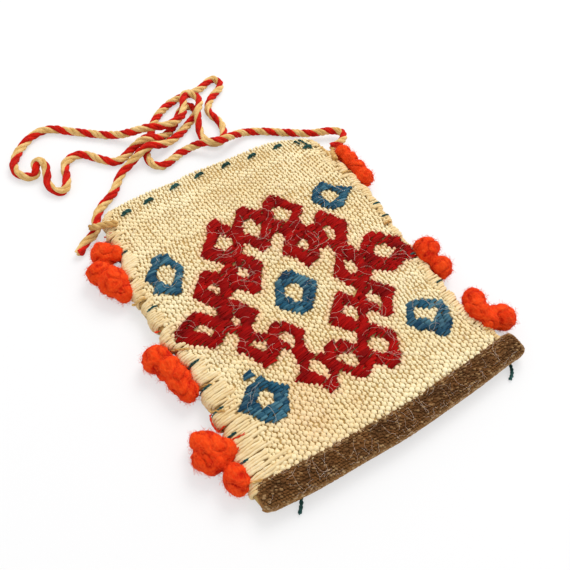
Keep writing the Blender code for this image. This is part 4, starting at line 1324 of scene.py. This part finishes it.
def hair_finish():
    """Dark brown goat hair with pale flecks, and painted light that makes the lower side and its flecks lighter.
    """
    paint = Finish("goat_hair", 0.75, sheen=0.0)
    tone = paint.attribute("tone")
    fine = paint.noise(2400.0, 3.0)
    slow = paint.noise(150.0, 3.0)
    height = paint.axis(2)
    shade = paint.mix(paint.ramp(slow, 0.35, 0.68), srgb(66, 36, 14), srgb(108, 68, 32))
    # Painted light: the band and its flecks are made lighter towards the ground, where light glints on its
    # underside.
    under = 1 - paint.ramp(height, 0.0052, 0.0092)
    shade = paint.mix(under * 0.85, shade, srgb(164, 120, 70))
    fleck = paint.mix(under, srgb(168, 130, 84), srgb(232, 204, 158))
    shade = paint.mix(paint.ramp(tone, 0.72, 0.98) * 0.6, shade, fleck)
    shade = paint.mix(paint.ramp(fine, 0.55, 0.8) * 0.3, shade, srgb(150, 108, 62))
    paint.bump(fine, 0.0002, 0.7)
    return paint.colour(shade)


goat_hair = hair_finish()
band_core = new_piece("band_core", make_band_core(), goat_hair)
finish_piece(band_core, "brown_goat_hair", "bottom_band")
band_beads = grow("band_threads", bead_carrier(), GRAINS,
                  {"Segments": 5, "Rings": 3, "Droop": 0.2, "Material": goat_hair})
finish_piece(band_beads, "brown_goat_hair")

# %% [markdown]
# ## Tufts of fleece
#
# Knots of orange fleece hang on both sides. Fleece has no threads: it is a soft lump
# with creases where the roving folds. Each tuft is three to six lobes, and each lobe is
# one large ball and two smaller ones. A voxel remesh joins them, and then every point is
# moved by warped stripes, which make the creases. Loose fibres cover it.

# %% Make the tufts
TUFTS = {
    "tuft_left_upper": ((-66.2, 50.2, 5.6, 5.6, 6.0, 5.2), (-61.8, 48.2, 6.2, 3.4, 4.0, 3.8),
                        (-71.0, 41.6, 5.6, 5.6, 5.8, 5.0), (-68.0, 35.0, 5.8, 6.6, 8.0, 5.6),
                        (-66.0, 28.8, 5.0, 4.6, 4.4, 4.4)),
    "tuft_left_middle": ((-67.2, -5.8, 5.3, 6.2, 5.8, 5.2), (-65.0, -11.0, 5.4, 5.2, 5.4, 5.1),
                         (-63.6, -17.0, 5.3, 5.0, 7.0, 5.2), (-62.6, -22.6, 5.0, 4.2, 4.8, 4.6)),
    "tuft_left_lower": ((-65.6, -46.6, 5.6, 6.2, 7.0, 5.4), (-67.4, -42.2, 5.2, 4.0, 4.2, 4.2),
                        (-69.2, -47.8, 5.2, 4.4, 4.6, 4.4), (-66.4, -51.0, 5.2, 5.2, 4.4, 4.8),
                        (-61.6, -49.4, 5.4, 4.8, 4.6, 5.0), (-62.6, -60.0, 5.2, 4.8, 6.2, 5.0)),
    "tuft_right_upper": ((61.8, 58.6, 5.3, 4.3, 4.4, 4.6), (61.8, 52.4, 5.4, 4.3, 5.2, 4.8),
                         (61.6, 45.4, 5.5, 4.7, 5.4, 5.0), (61.2, 39.0, 5.5, 4.7, 4.8, 4.9)),
    "tuft_right_middle": ((58.4, -11.6, 7.0, 6.8, 5.8, 5.4), (56.8, -14.6, 6.8, 4.8, 4.4, 5.0),
                          (58.6, -22.2, 6.2, 5.2, 5.8, 5.0)),
    "tuft_right_lower": ((58.6, -43.0, 7.2, 5.2, 5.2, 5.2), (56.2, -47.8, 7.4, 5.4, 5.8, 5.6),
                         (57.6, -53.6, 6.6, 4.8, 4.8, 5.0), (61.4, -52.6, 6.2, 4.6, 4.2, 5.0),
                         (64.6, -54.8, 5.9, 5.8, 6.2, 5.6)),
}
TUFT_VOXEL, TUFT_SOFTENING = 0.00042, 16
CREASE_SPREAD = 0.0070


def ball_points(centre, radii):
    """Points and faces of a small ball with the given radii."""
    shape = bmesh.new()
    bmesh.ops.create_icosphere(shape, subdivisions=3, radius=1.0)
    for vertex in shape.verts:
        vertex.co = Vector([c + r * v for c, r, v in zip(centre, radii, vertex.co)]) * MM
    points = [tuple(vertex.co) for vertex in shape.verts]
    faces = [tuple(vertex.index for vertex in face.verts) for face in shape.faces]
    shape.free()
    return points, faces


def lumpy(lobes, seed):
    """The given lobes, a little smaller, with smaller lumps round each."""
    chance = random.Random(seed)
    result = []
    for x, y, z, rx, ry, rz in lobes:
        result.append((x, y, z, rx * 0.92, ry * 0.92, rz * 0.94))
        for _ in range(2):
            turn = chance.uniform(0, 2 * math.pi)
            result.append((x + rx * 0.42 * math.cos(turn), y + ry * 0.42 * math.sin(turn),
                           z + rz * chance.uniform(-0.2, 0.3),
                           rx * chance.uniform(0.42, 0.60), ry * chance.uniform(0.42, 0.60), rz * 0.58))
    return result


def fleece_mesh(name, lobes):
    """Joined lobes with creases."""
    points, faces = [], []
    for x, y, z, rx, ry, rz in lumpy(lobes, len(name)):
        more, turns = ball_points((x, y, z), (rx, ry, rz))
        faces += [tuple(index + len(points) for index in face) for face in turns]
        points += more
    mesh = bpy.data.meshes.new(name)
    mesh.from_pydata(points, [], faces)
    lump = bpy.data.objects.new(name, mesh)
    bpy.context.scene.collection.objects.link(lump)
    remesh = lump.modifiers.new("join", "REMESH")
    remesh.mode, remesh.voxel_size = "VOXEL", TUFT_VOXEL
    soften = lump.modifiers.new("soften", "SMOOTH")
    soften.iterations, soften.factor = TUFT_SOFTENING, 0.5
    depsgraph = bpy.context.evaluated_depsgraph_get()
    result = bpy.data.meshes.new_from_object(lump.evaluated_get(depsgraph), depsgraph=depsgraph)
    bpy.data.objects.remove(lump)
    return crease(result, len(name))


def crease(mesh, seed):
    """Move each point along its normal by warped stripes; keep how deep it lies."""
    moved, depth = [], []
    shift = Vector((seed * 3.7, seed * 1.9, seed * 2.3))
    for vertex in mesh.vertices:
        place = vertex.co / CREASE_SPREAD + shift
        warp = noise.noise(place) * 2.0 + noise.noise(place * 2.3) * 0.6
        stripe = abs(math.sin(place.x * 1.1 + place.y * 0.7 + place.z * 1.6 + warp * 2.2))
        small = abs(math.sin(place.y * 5.0 + place.x * 2.0 + warp * 6.0))
        push = (stripe ** 0.5 - 0.70) * 0.00085 + (small - 0.5) * 0.00034 + noise.noise(place * 8) * 0.00016
        moved.append(vertex.co + vertex.normal * push)
        depth.append(min(1.0, stripe ** 0.6 * 0.8 + small * 0.2))
    for vertex, place in zip(mesh.vertices, moved):
        place.z = max(place.z, 0.0001)
        vertex.co = place
    # How deep each point lies is kept as tone; the fleece material paints shade in the creases and light on the
    # raised parts from it.
    store(mesh, "tone", depth)
    mesh.shade_smooth()
    return mesh


def fleece_finish():
    """Orange fleece: painted shade in deep red in the creases and painted light in orange on the raised parts."""
    paint = Finish("orange_fleece_wool", 0.9, sheen=0.0)
    tone = paint.attribute("tone")
    fine = paint.noise(1500.0, 4.0, ((0.3, 0.2, 0.5), (1.0, 0.25, 1.0)))
    slow = paint.noise(160.0, 3.0)
    # Painted shade and light: tone mixes deep red in the creases to orange on the raised parts.
    shade = paint.mix(paint.ramp(tone, 0.25, 0.85), srgb(186, 12, 2), srgb(232, 58, 10))
    shade = paint.mix(paint.ramp(slow, 0.4, 0.75) * 0.5, shade, srgb(250, 84, 18))
    shade = paint.mix(paint.ramp(fine, 0.45, 0.75) * 0.5, shade, srgb(255, 108, 44))
    shade = paint.mix(paint.ramp(slow, 0.5, 0.3) * 0.4, shade, srgb(196, 18, 2))
    paint.bump(fine, 0.0004, 0.9)
    return paint.colour(shade)


fleece = fleece_finish()
fleece_fibre = dyed_finish("orange_fibre", srgb(224, 40, 4), srgb(240, 66, 10), srgb(255, 112, 52), 0.3)
for tuft_name, tuft_lobes in TUFTS.items():
    fleece_name = tuft_name.replace("tuft", "fleece")
    tuft = new_piece(fleece_name, fleece_mesh(tuft_name + "_lump", tuft_lobes), fleece)
    finish_piece(tuft, "orange_fleece", tuft_name)
    fuzz = grow(fleece_name + "_fibres", tuft.data.copy(), FIBRES,
                {"Density": 1.05e6, "Length": 0.0026, "Thickness": 0.00005, "Lift": 0.15,
                 "Seed": len(tuft_name), "Material": fleece_fibre})
    finish_piece(fuzz, "orange_fleece")

# %% [markdown]
# ## Sewing threads, ties and loose ends
#
# Dark green wool is sewn along the hem and over the side edges. Tan yarn ties the
# strap to both corners. All of these are plied yarns on short paths.

# %% Make the sewing threads
HEM_STITCHES = (
    (-29.7, 114.8), (-22.7, 115.6), (-13.7, 116.9), (-5.1, 117.4),
    (4.3, 117.0), (13.5, 116.5), (23.0, 116.6), (31.4, 113.4),
)
LEFT_STITCHES = (97.9, 72.3, 47.7, 38.5, 30.3, 21.5, 12.9)
RIGHT_STITCHES = (75.6, 68.9, 49.0, 34.6)
TAIL_ROUTES = {
    "thread_tail_left": ((-45.6, -73.6, 1.8), (-47.2, -76.8, 1.1), (-50.0, -79.4, 0.7), (-53.4, -79.2, 0.7)),
    "thread_tail_right": ((55.6, -69.6, 2.2), (54.0, -74.2, 1.2), (51.8, -76.4, 0.8), (48.8, -77.4, 0.8),
                          (46.4, -79.6, 0.7)),
}
TAIL_SHARE = 0.64
LASHING_ROUTES = {
    "strap_lashing_left": ((-55.4, 60.6, 9.6), (-59.8, 62.6, 9.0), (-63.4, 64.6, 7.6), (-66.0, 67.4, 5.4)),
    "strap_lashing_right": ((59.8, 64.0, 4.2), (57.4, 61.0, 5.0), (55.4, 57.4, 6.6), (53.4, 53.4, 8.4)),
}


def hem_stitch(end, pick):
    """One dash of running stitch: up through the cloth, over it and down again."""
    shares = np.linspace(-1, 1, 11)
    above = np.array([-0.8, 0.1, 0.6, 0.8, 0.9, 0.9, 0.9, 0.8, 0.6, 0.1, -0.8]) * MM
    path = cloth_point(end + shares * 1.6, pick + shares * 0.35, above)
    return plied(path, 2, 0.00088, 0.0038, 0.4)


def side_stitch(side, pick):
    """One overcast stitch round a side edge."""
    points = []
    for inset, face in ((4.6, 1), (3.6, 1), (2.2, 1), (0.9, 1), (0.0, 1), (0.5, -1), (1.8, -1), (2.6, -1)):
        u = side * (1 - inset * MM / HALF_WIDTH)
        above = -0.0006 if inset in (4.6, 2.6) else 0.0011
        point = cloth_point([u * HALF_ENDS], [pick - side * inset * 0.12], above, face)[0]
        points.append((point[0], point[1], max(point[2], 0.0006)))
    return plied(smooth_path(points, 16), 2, 0.00052, 0.0030, 0.4)


def thread_finish():
    """Dark green sewing wool, faded to grey-blue on worn places."""
    paint = Finish("green_sewing_wool", 0.85)
    tone = paint.attribute("tone")
    fine = paint.noise(2200.0, 3.0)
    slow = paint.noise(140.0, 2.0)
    shade = paint.mix(paint.ramp(slow, 0.35, 0.7), srgb(14, 50, 46), srgb(44, 90, 88))
    shade = paint.mix(paint.ramp(fine, 0.5, 0.8) * 0.35 + tone * 0.05, shade, srgb(96, 136, 132))
    paint.bump(fine, 0.0002, 0.7)
    return paint.colour(shade)


def tan_finish():
    """Loose tan yarn of the ties."""
    paint = Finish("tan_tie_wool", 0.88)
    fine = paint.noise(1900.0, 3.0)
    slow = paint.noise(200.0, 2.0)
    shade = paint.mix(paint.ramp(slow, 0.3, 0.7), srgb(178, 128, 62), srgb(222, 184, 116))
    shade = paint.mix(paint.ramp(fine, 0.5, 0.8) * 0.4, shade, srgb(240, 214, 158))
    paint.bump(fine, 0.00025, 0.8)
    return paint.colour(shade)


green_wool, tan_wool = thread_finish(), tan_finish()
hem_lines = [line for place in HEM_STITCHES for line in hem_stitch(*place)]
add_yarns("hem_stitches", hem_lines, 6, green_wool, "green_thread", *nodes_named("hem_stitch"))
side_lines = [line for side, picks in ((-1, LEFT_STITCHES), (1, RIGHT_STITCHES)) for pick in picks
              for line in side_stitch(side, pick)]
add_yarns("side_stitches", side_lines, 6, green_wool, "green_thread", *nodes_named("side_stitch"))
for tail_name, tail_route in TAIL_ROUTES.items():
    path = through_points(tail_route, 6) * MM
    path = path[:round(len(path) * TAIL_SHARE)]
    add_yarns(tail_name.replace("thread", "green"), plied(path, 2, 0.00078, 0.003, 0.3), 6, green_wool,
              "green_thread", tail_name)
for tie_name, tie_route in LASHING_ROUTES.items():
    path = through_points(tie_route, 6) * MM
    add_yarns(tie_name.replace("lashing", "tie"), plied(path, 3, 0.0015, 0.009, 0.5), 7, tan_wool,
              "tan_yarn", tie_name)

# %% [markdown]
# Both side edges have been mended more than once. Tan, yellow and orange-red yarns lie
# in the notches between the floats, and one long green stitch stands at the right end
# of the hem. Their places are written in millimetres on the front.

# %% Make the mending yarns
TAN_MENDS = (
    ((-60.0, 56.5), (-57.5, 54.4), (-54.5, 52.0)), ((-63.0, 36.4), (-59.0, 36.2), (-54.6, 35.2)),
    ((-62.0, 24.0), (-58.0, 23.6), (-54.0, 23.0)), ((-58.4, -3.2), (-56.0, -5.4), (-52.6, -7.4)),
    ((-59.5, -22.6), (-56.6, -24.0), (-53.2, -25.2)), ((-58.8, -33.0), (-56.6, -35.4), (-53.4, -37.2)),
    ((-58.4, -63.8), (-56.0, -65.2), (-52.6, -66.2)), ((58.2, 70.0), (57.2, 63.0), (55.2, 56.0)),
    ((57.0, 71.0), (55.6, 64.0), (54.2, 58.0)), ((57.6, 45.6), (55.0, 45.6), (52.0, 45.0)),
    ((57.0, 8.2), (55.0, 8.0), (52.6, 7.6)), ((57.6, -60.4), (55.6, -60.2), (53.4, -59.6)),
)
ORANGE_MENDS = (
    ((-60.2, 63.8), (-58.0, 63.6), (-55.6, 63.4)), ((-62.0, 7.6), (-60.0, 7.3), (-57.6, 7.2)),
    ((-58.0, -34.6), (-61.0, -38.6), (-59.6, -42.2), (-56.0, -42.0)),
    ((-56.0, -48.0), (-53.4, -48.3), (-50.6, -48.2)), ((-59.6, -53.2), (-57.4, -52.6), (-54.8, -51.8)),
)
GREEN_MENDS = (((49.6, 75.6), (50.6, 71.6), (51.6, 67.0)), ((47.0, 74.6), (47.4, 72.6), (47.8, 71.6)),
               ((-62.4, 60.8), (-61.0, 60.6), (-59.4, 60.2)))


OUTER_END, INNER_END = 36.6, 35.95


def mending_yarn(route, radius):
    """A two-ply yarn laid over the front along a route, with both ends in the cloth."""
    flat = through_points([(x, y, 0.0) for x, y in route], 6)
    above = np.full(len(flat), radius * 1.7)
    above[0] = above[-1] = -radius
    ends = np.clip(flat[:, 0] * MM / END_PITCH, -OUTER_END, OUTER_END)
    on_cloth = np.clip(ends, -INNER_END, INNER_END)
    picks = (flat[:, 1] * MM - FOLD_Y) / PICK_PITCH
    path = cloth_point(on_cloth, picks, above)
    path[:, 0] += (ends - on_cloth) * END_PITCH
    return plied(path, 2, radius, 0.0036, 0.5)


orange_wool = dyed_finish("orange_mending_wool", srgb(176, 14, 4), srgb(222, 44, 10), srgb(246, 110, 60), 0.35)
for mend_name, routes, radius, wool, slot in (
        ("tan_mends", TAN_MENDS, 0.00056, tan_wool, "tan_yarn"),
        ("orange_mends", ORANGE_MENDS, 0.00042, orange_wool, "orange_fleece"),
        ("green_mends", GREEN_MENDS, 0.00050, green_wool, "green_thread")):
    add_yarns(mend_name, [line for route in routes for line in mending_yarn(route, radius)], 6, wool, slot)

# %% [markdown]
# ## Stray hairs
#
# Hand-spun wool sheds. Pale hairs curl over the front and the band, and they show best
# on the red, the blue and the brown. Each is a thin yarn that walks over the surface
# and turns slowly as it goes.

# %% Make the stray hairs
CLOTH_HAIRS, BAND_HAIRS = 380, 130
CLOTH_HAIR_STEPS, BAND_HAIR_STEPS = 11, 9


def stray_hair(rng, end, pick, length):
    """A thin curl that walks over the cloth."""
    heading, turn = rng.uniform(0, 2 * math.pi), rng.normal(0, 0.12)
    step = length / CLOTH_HAIR_STEPS
    ends, picks, rise = [end], [pick], [0.0]
    for _ in range(CLOTH_HAIR_STEPS):
        heading += turn + rng.normal(0, 0.12)
        turn = turn * 0.9 + rng.normal(0, 0.07)
        ends.append(ends[-1] + math.cos(heading) * step / END_PITCH)
        picks.append(picks[-1] + math.sin(heading) * step / PICK_PITCH)
        rise.append(abs(rng.normal(0, 0.5)))
    rise = np.convolve(rise, [0.25, 0.5, 0.25], mode="same")
    ends = np.clip(ends, -35.6, 35.6)
    picks = np.clip(picks, 0.5, 119.5)
    base = np.where(in_brocade(ends, picks), 0.00125, 0.00070)
    base = np.convolve(np.pad(base, 1, mode="edge"), [0.25, 0.5, 0.25], mode="valid")
    return cloth_point(ends, picks, base + np.array(rise) * 0.0007)


def band_hair(rng):
    """A thin curl that walks over the band."""
    heading, turn = rng.uniform(0, 2 * math.pi), rng.normal(0, 0.15)
    step = rng.uniform(0.002, 0.006) / BAND_HAIR_STEPS
    share, angle = [rng.uniform(0.03, 0.97)], [rng.uniform(0.25, 0.95) * math.pi]
    for _ in range(BAND_HAIR_STEPS):
        heading += turn
        share.append(share[-1] + math.cos(heading) * step / BAND_LENGTH)
        angle.append(angle[-1] + math.sin(heading) * step / BAND_HALF)
    share = np.clip(share, 0.01, 0.99)
    return band_place(share, np.array(angle), 0.0006 + 0.0003 * np.sin(np.arange(BAND_HAIR_STEPS + 1)))


def stray_hairs():
    """Hairs over the cloth, more of them on the brocade, and hairs over the band."""
    rng = np.random.default_rng(61)
    lines = []
    while len(lines) < CLOTH_HAIRS:
        end, pick = rng.uniform(-34, 34), rng.uniform(4, 117)
        dyed = bool(in_brocade([end], [pick])[0])
        if not dyed and rng.uniform() < 0.6:
            continue
        path = stray_hair(rng, end, pick, rng.uniform(0.004, 0.012))
        lines.append((path, 0.000029 * rng.uniform(0.7, 1.5), float(rng.uniform())))
    for _ in range(BAND_HAIRS):
        lines.append((band_hair(rng), 0.000024 * rng.uniform(0.7, 1.5), float(rng.uniform())))
    return lines


def hair_pale_finish():
    """Warm pale hair, some of it lighter."""
    paint = Finish("pale_hair", 0.55, sheen=0.0)
    tone = paint.attribute("tone")
    return paint.colour(paint.mix(tone, srgb(224, 196, 178), srgb(250, 234, 216)))


pale_hair = hair_pale_finish()
add_yarns("stray_hairs", stray_hairs(), 3, pale_hair, "cream_wool")

# %% [markdown]
# ## Triangles in all
#
# The cloth was one flat length before it was folded and sewn. The last line prints
# how many triangles all pieces have together.

print("triangles in all:", sum(TALLY.values()))
